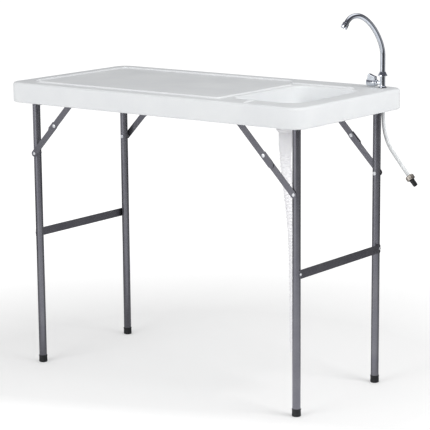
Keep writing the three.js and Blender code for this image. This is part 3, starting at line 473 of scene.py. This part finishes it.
# %% [markdown]
# ## The moulded top
# Every horizontal slice of the top is a rounded rectangle, inside and out, so the whole moulding is
# one grid: it starts at the drain hole, spreads over the sink's floor, climbs the sink's walls,
# crosses the board, rolls over the edge, goes down the apron, and returns underneath. All rings have
# the same number of points in the same order, so each joins the next without a gap.

# %% Rings of the top
CORNER_STEPS, SIDE_STEPS = 8, 10
HALF, CORNER = np.array([570.0, 290.0]), 45
SINK, SINK_HALF, SINK_CORNER = np.array([380.0, -23.0]), np.array([116.0, 181.0]), 40
SKIRT_INSET, SKIRT_CORNER = 26, 22
DRAFT = math.tan(math.radians(6))
WALL, EDGE, COVE, FOOT_ROUND, SKIRT_ROUND, CEILING_ROUND = 3, 8, 18, 4, 2, 6
FLOOR, APRON_FOOT, CEILING = 864, 880, 910
DRAIN_HOLE, DISH = 16.9, 30


def slice_ring(half, radius, z, centre=(0.0, 0.0)):
    """A rounded rectangle at one height: four quarter circles, joined by evenly divided sides."""
    half, centre = np.asarray(half, float), np.asarray(centre, float)
    signs = np.array([[1, 1], [-1, 1], [-1, -1], [1, -1]])
    angle = (np.arange(4)[:, None] + np.linspace(0, 1, CORNER_STEPS + 1)[None]) * math.pi / 2
    corner = (centre + signs[:, None] * (half - radius)
              + radius * np.stack([np.cos(angle), np.sin(angle)], axis=-1))
    ends, starts = corner[:, -1], np.roll(corner[:, 0], -1, axis=0)
    t = np.linspace(0, 1, SIDE_STEPS + 1)[None, 1:-1, None]
    sides = ends[:, None] * (1 - t) + starts[:, None] * t
    flat = np.concatenate([corner, sides], axis=1).reshape(-1, 2)
    return np.concatenate([flat, np.full((len(flat), 1), z)], axis=1)


def outer_ring(inset, z):
    return slice_ring(HALF - inset, CORNER - inset, z)


def sink_ring(outset, z):
    return slice_ring(SINK_HALF + outset, SINK_CORNER + outset, z, SINK)


def skirt_ring(inset, z):
    return slice_ring(HALF - SKIRT_INSET - inset, SKIRT_CORNER - inset, z)


def round_hole(ring, z, radius):
    """The ring's points pushed along their rays onto a circle round the drain."""
    centre = np.array([DRAIN_X, DRAIN_Y])
    ray = unit(ring[:, :2] - centre)
    return np.concatenate([centre + radius * ray, np.full((len(ray), 1), z)], axis=1)


def spread(first, last, count):
    """count rings between two rings, ends left out."""
    t = np.linspace(0, 1, count + 2)[1:-1, None, None]
    return list(first[None] * (1 - t) + last[None] * t)


turn = np.radians(np.linspace(0, 90, 7))
ROUND = list(zip(1 - np.cos(turn), np.sin(turn)))
TURNED = list(zip(1 - np.sin(turn), np.cos(turn)))
shoulder, cove_top = TOP - EDGE, FLOOR + COVE
lean = (shoulder - FLOOR) * DRAFT
sink_floor = sink_ring(-lean - COVE, FLOOR)
dish = round_hole(sink_floor, FLOOR, DISH)
rings = [round_hole(sink_floor, FLOOR, DRAIN_HOLE), dish, *spread(dish, sink_floor, 4), sink_floor]
rings += [sink_ring(-lean - COVE * (1 - up), FLOOR + COVE * over) for over, up in ROUND[1:]]
rings += [sink_ring(-lean * (1 - k), cove_top + (shoulder - cove_top) * k)
          for k in (0.25, 0.5, 0.75, 1.0)]
rings += [sink_ring(EDGE * over, shoulder + EDGE * up) for over, up in ROUND[1:]]
rings += [*spread(rings[-1], outer_ring(EDGE, TOP), 14)]
rings += [outer_ring(EDGE * over, shoulder + EDGE * up) for over, up in TURNED]
rings += [outer_ring(0.0, z) for z in (916, 898, APRON_FOOT)]
rings += [outer_ring(FOOT_ROUND * over, APRON_FOOT - FOOT_ROUND * up) for over, up in ROUND[1:]]
inner_foot = APRON_FOOT - FOOT_ROUND + SKIRT_ROUND
rings += [skirt_ring(-SKIRT_ROUND * over, inner_foot - SKIRT_ROUND * up) for over, up in TURNED]
rings += [skirt_ring(0.0, 893)]
rings += [skirt_ring(CEILING_ROUND * over, CEILING - CEILING_ROUND * (1 - up)) for over, up in ROUND]
shell_top = sink_ring(WALL - (shoulder - CEILING) * DRAFT, CEILING)
rings += [*spread(rings[-1], shell_top, 8), shell_top, sink_ring(WALL - (shoulder - 896) * DRAFT, 896)]
rings += [sink_ring(WALL - lean - (COVE + WALL) * over, cove_top - (COVE + WALL) * up)
          for over, up in ROUND]
under = round_hole(rings[-1], FLOOR - WALL, DRAIN_HOLE)
rings += [*spread(rings[-1], under, 3), under]
top_piece = skinned("moulded_top", np.asarray(rings) * MM, WHITE, loop=True, replaces="tabletop", crisp=40)
print("top", len(rings), "rings,", len(top_piece.data.vertices), "points")

# %% [markdown]
# ## The raised beads
# A low ridge round the board keeps water on it. In section it is a soft hump, 4.5 millimetres high,
# and it fades out at its ends. Its line in plan is a row of corners rounded by short curves, as the
# edge of a mould would be cut.

# %% Beads on the top
def rounded_line(corners, radius, step=6.0):
    """Corners become short curves; the line is then divided evenly."""
    line = softened(np.asarray(corners, float), radius, steps=8)
    length = np.linalg.norm(np.diff(line, axis=0), axis=1).sum()
    return even(line, max(int(length / step), 8))[0]


def bead(name, corners, width=10.0, height=4.5, radius=14.0):
    """The section is height * cos^2 of the distance from the line; the ends fade over 12 mm."""
    line = rounded_line(corners, radius)
    way = unit(np.gradient(line, axis=0))
    side = np.stack([-way[:, 1], way[:, 0]], axis=1)
    run = np.concatenate([[0], np.cumsum(np.linalg.norm(np.diff(line, axis=0), axis=1))])
    fade = np.clip(np.minimum(run, run[-1] - run) / 12, 0, 1)
    fade = np.sin(fade * math.pi / 2)
    offset = np.linspace(-width / 2, width / 2, 13)
    hump = height * np.cos(offset / width * math.pi) ** 2
    plan = line[:, None] + side[:, None] * offset[None, :, None]
    top = np.concatenate([plan, (TOP - 0.15 + hump[None, :] * fade[:, None])[..., None]], axis=2)
    under_side = np.concatenate([plan[:, ::-1], np.full(plan.shape[:2] + (1,), TOP - 1.2)], axis=2)
    rings = np.concatenate([top, under_side], axis=1) * MM
    return skinned(name, rings, WHITE, crisp=60)


BEADS = {"board_bead_front": [[-482, -240], [244, -240], [244, 148]],
         "board_bead_back": [[-508, -222], [-508, 222], [190, 222], [226, 178], [455, 178]],
         "sink_divider_bead": [[368, -286], [354, -212]]}
for name, corners in BEADS.items():
    bead(name, corners)
print("beads", len(BEADS))

# %% [markdown]
# ## Leg frames
# Each frame is two legs on a cross tube, tied by a flat bar. A tube is a lathe piece, closed at its
# ends. The feet are rubber cups with a rolled lip and a softly rounded sole, and the bar's ends are
# held by round-headed rivets.

# %% Legs, tubes, feet and bars
SIDES = {"right": 1, "left": -1}
FACES = {"front": -1, "rear": 1}
PIVOT = {"right": (512.0, 895.0), "left": (-512.0, 865.0)}
LEG_Y, BAR_HEIGHT, BAR_STANDOFF = 219.0, 437, 12.8
STRIP = 2.5
X, Y, Z = (1, 0, 0), (0, 1, 0), (0, 0, 1)


def head(name, place, axis, body, radius, height):
    """A round rivet or screw head: a dome on a short straight rim."""
    return turned(name, [[0, -0.6], [radius, -0.6], [radius, height * 0.3], [radius * 0.86, height * 0.68],
                         [radius * 0.5, height * 0.94], [0, height]],
                  place, axis, ZINC, body, sides=20, crisp=60)


for label, side in SIDES.items():
    px, pz = PIVOT[label]
    body = f"{label}_frame"
    turned(f"{label}_cross_tube", [[0, -206.2], [5.9, -206.2], [6.5, -205.6], [6.5, 205.6],
                                   [5.9, 206.2], [0, 206.2]],
           (px, 0, pz), Y, STEEL, body, replaces=f"{label}_pivot_tube", sides=40)
    bar = np.concatenate([arc(218, 9.5, 4, 0, 90, 5), arc(-218, 9.5, 4, 90, 180, 5),
                          arc(-218, -9.5, 4, 180, 270, 5), arc(218, -9.5, 4, 270, 360, 5)])
    start = px + (BAR_STANDOFF if side > 0 else -BAR_STANDOFF - STRIP)
    plate(f"{label}_flat_bar", bar, [], (start, 0, BAR_HEIGHT), Y, Z, STRIP, STEEL, body,
          replaces=f"{label}_crossbar", bevel=0.0006)
    for face, out in FACES.items():
        y = out * LEG_Y
        turned(f"{label}_{face}_leg_tube", [[0, 4.4], [12.5, 4.4], [12.5, pz + 6], [0, pz + 6]],
               (px, y, 0), Z, STEEL, body, replaces=f"{label}_{face}_leg", sides=40)
        turned(f"{label}_{face}_foot_cap",
               [[0, 0], [10.5, 0], [13, 1.2], [14, 3.2], [14, 6], [13.55, 7], [13.55, 20.2], [14, 21],
                [14, 23.4], [13.2, 24], [12.7, 24], [12.7, 5], [0, 5]],
               (px, y, 0), Z, RUBBER, body, replaces=f"{label}_{face}_foot", soft=0.5)
        bar_face = (px + side * (BAR_STANDOFF + STRIP), y, BAR_HEIGHT)
        head(f"{label}_{face}_bar_rivet", bar_face, (side, 0, 0), body, 4.2, 2.0)
print("legs", len(PIVOT) * len(FACES))

# %% [markdown]
# ## Braces
# Each brace is two flat links that meet at a knee and lock in a straight line. A link is cut from
# strip with round ends, and its edges are rolled slightly in the press, which a small bevel gives.
# The upper link runs past the knee with a tail and a stop lip. Rivet heads are low domes.

# %% Links, rivets and brackets
BRACE = {"right": (219.0, 213.3, 15.0, 150.0, 36.0), "left": (161.0, 176.8, 20.0, 136.0, 24.0)}
LINK_HALF, LIP, LIP_ROUND, LIP_LEAD = 10.25, 2.5, 1.5, 6
LOWER_LAYER, UPPER_LAYER, BRACKET_LAYER, PLAY = 234.0, 237.0, 240.0, 0.3
SCREW, SCREW_HEIGHT = 3.4, 1.8


def rivet(name, profile, pin, out, body, node):
    """A rivet at a pin's x and z. Its profile runs outwards, away from the middle of the table."""
    return turned(name, profile, (pin[0], 0, pin[1]), (0, out, 0), ZINC, body, sides=28,
                  replaces=node, soft=0.25, crisp=50)


for label, side in SIDES.items():
    px, pz = PIVOT[label]
    drop, reach_in, hang, lower, tail = BRACE[label]
    leg_pin = np.array([px, pz - drop])
    top_pin = np.array([px - side * reach_in, CEILING - hang])
    span = np.linalg.norm(top_pin - leg_pin)
    way = (top_pin - leg_pin) / span
    knee = leg_pin + way * lower
    for face, out in FACES.items():
        name = f"{label}_{face}"

        def strip(piece, start, direction, length, past_knee, layer, body):
            """A strip with round ends that starts at a pin and runs along a direction. A tail past
            the knee has a stop lip on the edge that faces the corner under the top."""
            end, lip_y = length + past_knee, LINK_HALF + LIP - LIP_ROUND
            lip = np.concatenate([arc(end - LIP_ROUND, lip_y, LIP_ROUND, 0, 90, 4),
                                  arc(length - LIP_LEAD + LIP_ROUND, lip_y, LIP_ROUND, 90, 180, 4),
                                  [[length - LIP_LEAD, LINK_HALF]]])
            outline = np.concatenate([arc(0, 0, LINK_HALF, 90, 270, 14),
                                      arc(end, 0, LINK_HALF, -90, 90, 14),
                                      *([lip] if past_knee else [])]) * [1, side]
            across = np.array([direction[0], 0, direction[1]])
            near = layer + STRIP if out > 0 else -layer
            return plate(f"{name}_{piece}_strip", outline, [hole(0, 0, 5.3), hole(length, 0, 3.3)],
                         (start[0], near, start[1]), across, np.cross((0, -1, 0), across), STRIP, STEEL,
                         body, replaces=f"{name}_{piece}", bevel=0.0005)

        strip("lower_link", leg_pin, way, lower, 0, LOWER_LAYER, f"{label}_lower_links")
        strip("upper_link", top_pin, -way, span - lower, tail, UPPER_LAYER, f"{label}_upper_links")
        rivet(f"{name}_leg_pin",
              [[0, 204.4], [4.2, 204.4], [6, 205.3], [6, 206.2], [3, 206.2], [3, 231.8], [6, 231.8],
               [6, 233.7], [5, 233.7], [5, 236.2], [4.6, 236.5], [0, 236.6]],
              leg_pin, out, f"{label}_frame", f"{name}_leg_rivet")
        rivet(f"{name}_knee_washer",
              [[0, 232.1], [6, 232.1], [6, 233.7], [3, 233.7], [3, 236.5], [0, 236.5]],
              knee, out, f"{label}_lower_links", f"{name}_knee_tail")
        rivet(f"{name}_knee_head", [[0, 237.0], [3, 237.0], [3, 239.8], [6, 239.8], [6, 240.5],
                                    [4.8, 241.3], [2.4, 241.6], [0, 241.6]],
              knee, out, f"{label}_upper_links", f"{name}_knee_rivet")
        rivet(f"{name}_top_pin", [[0, 237.0], [5, 237.0], [5, 239.65], [3, 239.65], [3, 242.8], [6, 242.8],
                                  [6, 243.6], [4.8, 244.3], [2.4, 244.6], [0, 244.6]],
              top_pin, out, "tabletop", f"{name}_bracket_rivet")
        upright = np.concatenate([[[-15, -PLAY]], arc(0, -hang, 9, 180, 360, 14), [[15, -PLAY]]])
        near = BRACKET_LAYER + STRIP if out > 0 else -BRACKET_LAYER
        plate(f"{name}_brace_ear", upright[::-1], [hole(0, -hang, 3.4)], (top_pin[0], near, CEILING),
              X, Z, STRIP, STEEL, replaces=f"{name}_brace_bracket", bevel=0.0005)
        flange = np.concatenate([arc(12, 15.5, 3, 0, 90, 5), arc(-12, 15.5, 3, 90, 180, 5),
                                 [[-15, 0], [15, 0]]])
        below = CEILING - PLAY - STRIP
        plate(f"{name}_brace_flange", flange * [1, out], [], (top_pin[0], out * BRACKET_LAYER, below),
              X, Y, STRIP, STEEL, bevel=0.0005)
        for at, mark in ((-8, "a"), (8, "b")):
            head(f"{name}_flange_screw_{mark}", (top_pin[0] + at, out * (BRACKET_LAYER + 11), below),
                 (0, 0, -1), "tabletop", SCREW, SCREW_HEIGHT)
print("braces", len(BRACE) * len(FACES), "with", 2 * len(BRACE) * len(FACES), "links")

# %% [markdown]
# ## Saddles
# A strap bent round the cross tube carries each frame. It is one strip of steel, so it is drawn as
# one: a line in the plane of the bend, given a thickness to both sides and then a width.

# %% Saddle straps
def strap(name, line, y, width, thickness, node):
    """A line in x and z, thickened by a half either side and widened along y."""
    way = unit(np.gradient(line, axis=0))
    side = np.stack([-way[:, 1], way[:, 0]], axis=1) * thickness / 2
    left, right_side = line + side, line - side
    corner = lambda flat, at: np.stack([flat[:, 0], np.full(len(flat), at), flat[:, 1]], axis=1)
    rings = np.stack([corner(left, y - width / 2), corner(left, y + width / 2),
                      corner(right_side, y + width / 2), corner(right_side, y - width / 2)], axis=1)
    return skinned(name, rings * MM, STEEL, replaces=node, crisp=30)


STRAP, STRAP_Y, STRAP_WIDTH, BEND = 1.8, 159.0, 20, 3
for label, (px, pz) in PIVOT.items():
    level = CEILING - 0.3 - 0.95
    loop_line = np.concatenate([
        [[px - 13, level], [px - 4, level]], arc(px - 4, level - BEND, BEND, 90, 0, 4),
        [[px - 0.96, pz + 9.5]], arc(px, pz, 7.75, 97, 443, 44), [[px + 0.96, pz + 9.5]],
        arc(px + 4, level - BEND, BEND, 180, 90, 4), [[px + 13, level]]])
    for face, out in FACES.items():
        y = out * STRAP_Y
        strap(f"{label}_{face}_strap", loop_line, y, STRAP_WIDTH, STRAP, f"{label}_{face}_saddle")
        for at, mark in ((-9, "n"), (9, "p")):
            head(f"{label}_{face}_strap_screw_{mark}", (px + at, y, 907.8), (0, 0, -1), "tabletop",
                 SCREW, SCREW_HEIGHT)
print("straps", len(PIVOT) * len(FACES))

# %% [markdown]
# ## The drain
# A chromed strainer sits in the sink's floor, its tailpiece goes down through it, and a long pale nut
# with grip lugs clamps it from below. A pale sleeve couples the tailpiece to the hose. The lugs are a
# ripple in the nut's radius that stops above its flange.

# %% Strainer, nut and sleeve
drain_base = (DRAIN_X, DRAIN_Y, FLOOR)
turned("strainer_ring", [[16.6, -76], [16.6, 0.2], [27.6, 0.2], [28, 0.6], [27, 1.7], [24, 2.3], [19, 2.1],
                         [15.6, 0.6], [14.5, -1.2], [14.5, -76]],
       drain_base, Z, CHROME, loop=True, replaces="drain_strainer", sides=48, crisp=50)
ring_holes = [hole(9 * math.cos(a), 9 * math.sin(a), 2.6, 16)
              for a in np.radians(np.arange(0, 360, 60))]
plate("strainer_plate", hole(0, 0, 15.2, 40), [*ring_holes, hole(0, 0, 2.6, 16)],
      (DRAIN_X, DRAIN_Y, FLOOR - 1.0), X, Y, 1.2, CHROME, bevel=0.0002)


def lugs(angle, height):
    """Eight grip lugs on the nut's body, which starts just above its flange."""
    body_part = np.clip(height / MM + 24.1, 0, 1)
    return 1 + 0.05 * body_part * np.clip(3 * np.cos(8 * angle), -1, 1)


turned("drain_grip_nut", [[16.8, -38.8], [21.6, -38.8], [22.4, -38.3], [28.1, -32.4], [28.5, -31.8],
                          [28.5, -25.4], [27.9, -24.8], [22.2, -24.8], [22, -24.1], [22, -22.9],
                          [22, -3.9], [21.4, -3.3], [16.8, -3.3]],
       drain_base, Z, VINYL_GREY, loop=True, replaces="drain_lock_nut",
       sides=96, lobes=lugs, crisp=50)
turned("drain_sleeve_tube", [[13.2, -100.6], [18.2, -100.6], [18.8, -100], [19.1, -96], [19.95, -86],
                             [20.6, -78.6], [20.6, -39.7], [20, -39.1], [16.8, -39.1], [16.8, -94.6],
                             [13.2, -94.6]],
       drain_base, Z, VINYL_GREY, loop=True, replaces="drain_sleeve", sides=48, crisp=50)
print("drain under", DRAIN_X, DRAIN_Y, "mm")

# %% [markdown]
# ## The tap
# The tap is cast and turned brass under chrome. Its upright body stands on a rubber washer, a barrel
# goes off to the left and ends in a lever, and a bell-shaped collar closes the joint under the spout.
# All of these but the lever are lathe pieces, so their profiles are what gives them their look.

# %% Body, washer, collar and shank nut
tap_base = (TAP_X, TAP_Y, TOP)
turned("tap_washer", [[8.4, 0.3], [12.1, 0.3], [12.5, 0.7], [12.5, 1.4], [12.1, 1.8], [8.4, 1.8]],
       tap_base, Z, RUBBER, loop=True, replaces="tap_gasket")
turned("tap_column", [[4.5, -52], [8, -52], [8, 2.1], [11.6, 2.1], [12, 2.6], [11.9, 3.8], [10.4, 4.8],
                      [9.2, 5.8], [8.6, 7.4], [8.4, 10], [8.4, 40.1], [4.5, 40.1]],
       tap_base, Z, CHROME, loop=True, replaces="tap_body", sides=48)
VALVE_HEIGHT = 14.5
VALVE = (TAP_X, TAP_Y, TOP + VALVE_HEIGHT)
turned("tap_barrel", [[0, 0], [5.6, 0], [5.6, 15.8], [6.4, 17.6], [9.2, 19.6], [9.5, 20.4], [9.5, 23.4],
                      [9, 24], [0, 24]],
       VALVE, (-1, 0, 0), CHROME, sides=48, crisp=50)
turned("spout_bell", [[8.7, 37.1], [14.3, 37.1], [14.8, 37.6], [14.8, 38.7], [13, 42.3], [11.1, 46],
                      [9.7, 49.2], [9.2, 50.1], [8.2, 50.1], [8.2, 40.4], [8.7, 40.4]],
       tap_base, Z, CHROME, loop=True, replaces="spout_collar", sides=48)


def hexagon(angle, height):
    """A hexagon's radius is its flat's distance over the cosine from the nearest flat's middle, and a
    cone cuts its corners near both ends."""
    turn = (angle + math.pi / 6) % (math.pi / 3) - math.pi / 6
    flat = math.cos(math.pi / 6) / np.cos(turn)
    depth = 4 - np.abs(height / MM + 34.3)
    return np.minimum(flat, 0.9 + 0.1 * np.clip(depth / 1.2, 0, 1))


nut_heights = np.linspace(-38.3, -30.3, 9)
turned("shank_hex_nut", [[8.5, -38.3], *[[11.5, h] for h in nut_heights], [8.5, -30.3]],
       tap_base, Z, BRASS, loop=True, sides=72, crisp=25, replaces="tap_shank_nut",
       lobes=lambda a, h: np.where(np.arange(len(nut_heights) + 2)[:, None] % (len(nut_heights) + 1) == 0,
                                   1.0, hexagon(a, h)))
print("tap on", TAP_X, TAP_Y, "mm")

# %% [markdown]
# ## The spout
# The spout is one tube: straight up from the collar, then over in two sweeps that meet level at the
# top. Each sweep is a cubic Bezier curve. Its rings are square to the curve, in the upright plane
# that the spout lies in, so the tube never twists.

# %% Spout and outlet
TURN, STEEP, PULL = math.radians(60), math.pi * 0.33, 18
APEX, TIP = (92, 226), (131.5, 197)
SPOUT_RADIUS, SPOUT_BORE = 7.9, 6.4
spout_plane = np.array([-math.cos(TURN), -math.sin(TURN), 0.0])


def sweep(points, count=60):
    """Cubic Bezier: (1-t)^3 a + 3t(1-t)^2 b + 3t^2(1-t) c + t^3 d."""
    a, b, c, d = (np.array(p, float) for p in points)
    t = np.linspace(0, 1, count)[:, None]
    return (1 - t) ** 3 * a + 3 * t * (1 - t) ** 2 * b + 3 * t ** 2 * (1 - t) * c + t ** 3 * d


tip_pull = (TIP[0] - PULL * math.cos(STEEP), TIP[1] + PULL * math.sin(STEEP))
profile = np.concatenate([
    [[0, 40.4], [0, 70]], sweep([(0, 100), (0, 148), (48, APEX[1]), APEX]),
    sweep([APEX, (114, APEX[1]), tip_pull, TIP])[1:]])
profile, spout_length = even(profile, 110)
spout_line = (np.array(tap_base) + profile[:, :1] * spout_plane + profile[:, 1:] * np.array([0, 0, 1.0]))
along = unit(np.gradient(spout_line, axis=0))
flat = np.cross(spout_plane, (0, 0, 1.0))
bend = np.cross(flat, along)
ring_angle = np.linspace(0, 2 * math.pi, 36, endpoint=False)
spread_ring = (np.cos(ring_angle)[None, :, None] * bend[:, None]
               + np.sin(ring_angle)[None, :, None] * flat[None, None])
outer = spout_line[:, None] + SPOUT_RADIUS * spread_ring
inner = (spout_line[:, None] + SPOUT_BORE * spread_ring)[::-1]
skinned("gooseneck_spout", np.concatenate([outer, inner]) * MM, CHROME, "spout",
        loop=True, replaces="spout", crisp=50)
tip, tip_way = spout_line[-1], along[-1]
turned("spout_outlet", [[8.5, -9], [9.6, -9], [10.1, -8.4], [10.1, -3.5], [9.8, -3.1], [9.8, -2.3],
                        [10.4, -1.8], [10.4, 6.8], [9.6, 8], [7.9, 8], [7.4, 6.4], [5, 6.2], [5, 0.4],
                        [8.5, 0.4]],
       tip, tip_way, CHROME, "spout", loop=True, replaces="aerator", sides=48)
turned("outlet_screen", [[0, 5.4], [7.3, 5.4], [7.3, 6.6], [5, 6.9], [0, 7.0]], tip, tip_way, NYLON,
       "spout", sides=32)
print("spout", round(float(spout_length)), "mm along its middle")

# %% [markdown]
# ## The lever
# The lever is a drum that turns on the barrel's end, with a wedge on top that rises to its outer
# end. The wedge is cut from its side view and given its width, and its edges are rolled.

# %% Lever
turned("lever_drum", [[0, 24.3], [10.9, 24.3], [11.6, 25], [11.6, 27.4], [11.2, 27.9], [11.2, 28.7],
                      [11.6, 29.2], [11.6, 52.6], [11.0, 54.2], [9.1, 55.3], [0, 55.3]],
       VALVE, (-1, 0, 0), CHROME, "tap_handle", replaces="tap_handle", sides=48, soft=0.4, crisp=50)
wedge = np.array([[-52.3, 5], [-52.3, 11.6], [-50.1, 25.8], [-48.9, 27], [-25.2, 18.3], [-24.3, 17.4],
                  [-24.3, 5]])
WEDGE_WIDTH = 14
plate("lever_wedge", wedge[::-1], [], (TAP_X, TAP_Y + WEDGE_WIDTH / 2, TOP + VALVE_HEIGHT), X, Z,
      WEDGE_WIDTH, CHROME, "tap_handle", bevel=0.0012, crisp=25)
print("lever wedge", len(wedge), "corners,", WEDGE_WIDTH, "mm wide")

# %% [markdown]
# ## Light, floor and background
# A plain pale studio: one broad soft lamp near the camera, so that faces turned to the viewer are
# brightest, a fill from the right, a weaker one overhead, and a floor that goes over into white. The
# white is only for the eye: rays that carry light see a dimmer world. Chrome shows whatever stands
# round it; here mirror rays alone see a ring of pale and dark bands painted in the world and in the
# floor, a painted reflection that neither the camera nor the light sees. The floor's glow, again only
# for the eye, grows away from the table, where it turns the floor white, and towards the viewer,
# which is painted light that makes the floor in front of the table lighter.

# %% World
def round_about(tree, vector, reflected_bands):
    """Painted reflection: the pale and dark bands that only mirror rays see along each bearing, as
    [position, level] pairs. The bearing is the angle of (x, y), spread over a ramp from 0 to 1."""
    split = add(tree, "ShaderNodeSeparateXYZ", links={"Vector": vector})
    bearing = add(tree, "ShaderNodeMath", links={0: split.outputs["Y"], 1: split.outputs["X"]},
                  operation="ARCTAN2")
    share = add(tree, "ShaderNodeMapRange", {"From Min": -math.pi, "From Max": math.pi},
                {"Value": bearing.outputs[0]})
    ramp = add(tree, "ShaderNodeValToRGB", links={"Fac": share.outputs["Result"]})
    stops = ramp.color_ramp.elements
    stops[0].position, stops[1].position = 0.0, 1.0
    for position, level in reflected_bands[1:-1]:
        stops.new(position)
    for stop, (position, level) in zip(stops, reflected_bands):
        stop.color = (level * 0.96, level * 0.98, level * 1.04, 1)
    return ramp.outputs["Color"], split.outputs["Z"]


def layered(tree, base, *layers):
    """Lays shaders over a first one; each layer is [how much of it shows, shader]."""
    for share, shader in layers:
        base = add(tree, "ShaderNodeMixShader",
                   links={0: share, 1: base.outputs[0], 2: shader.outputs[0]})
    return base


# Painted reflection: pale and dark bands that only mirror rays see, in the floor near the table, in the
# floor farther out, and in the world.
PAINTED_REFLECTION_NEAR = ((0.0, 0.35), (0.1, 0.45), (0.2, 1.0), (0.5, 1.0), (0.58, 0.4), (1.0, 0.3))
PAINTED_REFLECTION_MIDDLE = ((0.0, 0.08), (0.12, 0.08), (0.14, 0.25), (0.17, 0.85), (0.21, 1.1), (0.27, 1.1), (0.35, 0.75),
          (0.5, 0.6), (0.54, 0.35), (0.58, 0.04), (1.0, 0.04))
PAINTED_REFLECTION_FAR = ((0.0, 0.9), (0.135, 0.9), (0.145, 0.35), (0.165, 0.35), (0.175, 1.05), (0.27, 1.05), (0.29, 0.04),
       (0.5, 0.06), (0.53, 0.35), (0.68, 0.35), (0.72, 0.1), (0.94, 0.1), (0.97, 0.9), (1.0, 0.9))
world = bpy.data.worlds.new("studio")
bpy.context.scene.world = world
world.use_nodes = True
tree = world.node_tree
tree.nodes.clear()
rays = add(tree, "ShaderNodeLightPath").outputs
seen = add(tree, "ShaderNodeMath", links={0: rays["Is Camera Ray"], 1: rays["Is Transmission Ray"]},
           operation="MAXIMUM")
# The world's painted reflection: the far bands, black above them and a pale glow overhead, seen only by
# mirror rays.
walls, height = round_about(tree, add(tree, "ShaderNodeTexCoord").outputs["Generated"], PAINTED_REFLECTION_FAR)
dusk, overhead = (add(tree, "ShaderNodeMapRange", {"From Min": low, "From Max": high}, {"Value": height})
                  for low, high in ((0.3, 0.45), (0.72, 0.86)))
dim, black, ceiling_glow, white = (
    add(tree, "ShaderNodeBackground", {"Color": (*colour, 1), "Strength": strength})
    for colour, strength in (((1, 1, 1), 0.6), ((0.1, 0.1, 0.12), 1.0), ((0.95, 0.96, 1.0), 1.0),
                             ((1, 1, 1), 1.0)))
studio = add(tree, "ShaderNodeBackground", {"Strength": 1.0}, {"Color": walls})
painted_reflection = layered(tree, studio, (dusk.outputs["Result"], black),
                   (overhead.outputs["Result"], ceiling_glow))
whole = layered(tree, dim, (rays["Is Glossy Ray"], painted_reflection), (seen.outputs[0], white))
add(tree, "ShaderNodeOutputWorld", links={"Surface": whole.outputs[0]})
print("world nodes", len(tree.nodes))


# %% Lamps
def soft_lamp(name, place, target, size, power):
    """A square area lamp that faces a point; place and target in metres, power in watts."""
    light = bpy.data.lights.new(name, "AREA")
    light.size, light.energy = size, power
    lamp = bpy.data.objects.new(name, light)
    z = unit(np.array(place, float) - np.array(target, float))
    x = unit(np.cross((0, 0, 1), z))
    turn = np.eye(4)
    turn[:3, 0], turn[:3, 1], turn[:3, 2], turn[:3, 3] = x, np.cross(z, x), z, place
    lamp.matrix_world = Matrix(turn)
    bpy.context.scene.collection.objects.link(lamp)
    return lamp


soft_lamp("front_lamp", (-0.6, -4.1, 2.1), (0, 0, 0.6), 2.4, 64)
side_lamp = soft_lamp("right_lamp", (2.9, 0.1, 2.2), (0, 0, 0.6), 1.6, 43)
side_lamp.visible_glossy = False
soft_lamp("top_lamp", (0.2, 0.4, 4.2), (0, 0, 0.6), 2.8, 4)
print("lamps", len(bpy.data.lights))

# %% Floor
floor_faces = grid_faces(2, 2, loop_columns=False)
floor_mesh = bpy.data.meshes.new("floor")
floor_mesh.from_pydata([(-14, -14, 0), (14, -14, 0), (-14, 14, 0), (14, 14, 0)], [],
                       floor_faces.tolist())
floor = bpy.data.objects.new("floor", floor_mesh)
bpy.context.scene.collection.objects.link(floor)
paper, tree, surface, point = blank("white_paper")
rays = add(tree, "ShaderNodeLightPath").outputs
sheet = add(tree, "ShaderNodeBsdfDiffuse", {"Color": (0.8, 0.8, 0.8, 1)})
away = add(tree, "ShaderNodeVectorMath", links={0: point}, operation="LENGTH").outputs["Value"]
ahead = add(tree, "ShaderNodeVectorMath", {1: (0.34, -0.94, 0)}, {0: point},
            operation="DOT_PRODUCT").outputs["Value"]
# The floor's glow for the eye grows away from the table, which fades the floor into the white background,
# and towards the viewer, which is painted light that makes the floor in front of the table lighter.
far, front, past_two, past_four = (
    add(tree, "ShaderNodeMapRange", {"From Min": start, "From Max": end, "To Min": low, "To Max": high},
        {"Value": metres}).outputs["Result"]
    for metres, start, end, low, high in ((away, 0.8, 2.1, 0.19, 0.6), (ahead, 0.42, 0.66, 0.19, 0.42),
                                          (away, 2.0, 2.5, 0, 1), (away, 4.1, 4.7, 0, 1)))
rise = add(tree, "ShaderNodeMath", links={0: far, 1: front}, operation="MAXIMUM")
backdrop_white_and_painted_light = add(tree, "ShaderNodeMath", links={0: rays["Is Camera Ray"], 1: rise.outputs[0]},
           operation="MULTIPLY")
lift = add(tree, "ShaderNodeEmission", {"Color": (1, 1, 1, 1)}, {"Strength": backdrop_white_and_painted_light.outputs[0]})
lit = add(tree, "ShaderNodeAddShader", links={0: sheet.outputs[0], 1: lift.outputs[0]})
# Painted reflection in the floor: mirror rays see these bands, which the camera and the light never see.
inner, middle, outer = (add(tree, "ShaderNodeEmission", {"Strength": 1.0}, {
    "Color": round_about(tree, point, reflected_bands)[0]}) for reflected_bands in (PAINTED_REFLECTION_NEAR, PAINTED_REFLECTION_MIDDLE, PAINTED_REFLECTION_FAR))
painted_reflection = layered(tree, inner, (past_two, middle), (past_four, outer))
whole = layered(tree, lit, (rays["Is Glossy Ray"], painted_reflection))
tree.links.new(whole.outputs[0], surface)
floor_mesh.materials.append(paper)
floor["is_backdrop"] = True
print("floor nodes", len(tree.nodes))

# %% [markdown]
# ## Sizes
# The size of the dressed model is printed beside the size of the solids, so that the two can be
# compared.

# %% Sizes
visual_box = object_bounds()
({"cad": [list(corner) for corner in cad_box],
           "visual": [list(corner) for corner in visual_box]})
print("cad", [[round(v, 4) for v in corner] for corner in cad_box])
print("visual", [[round(v, 4) for v in corner] for corner in visual_box])
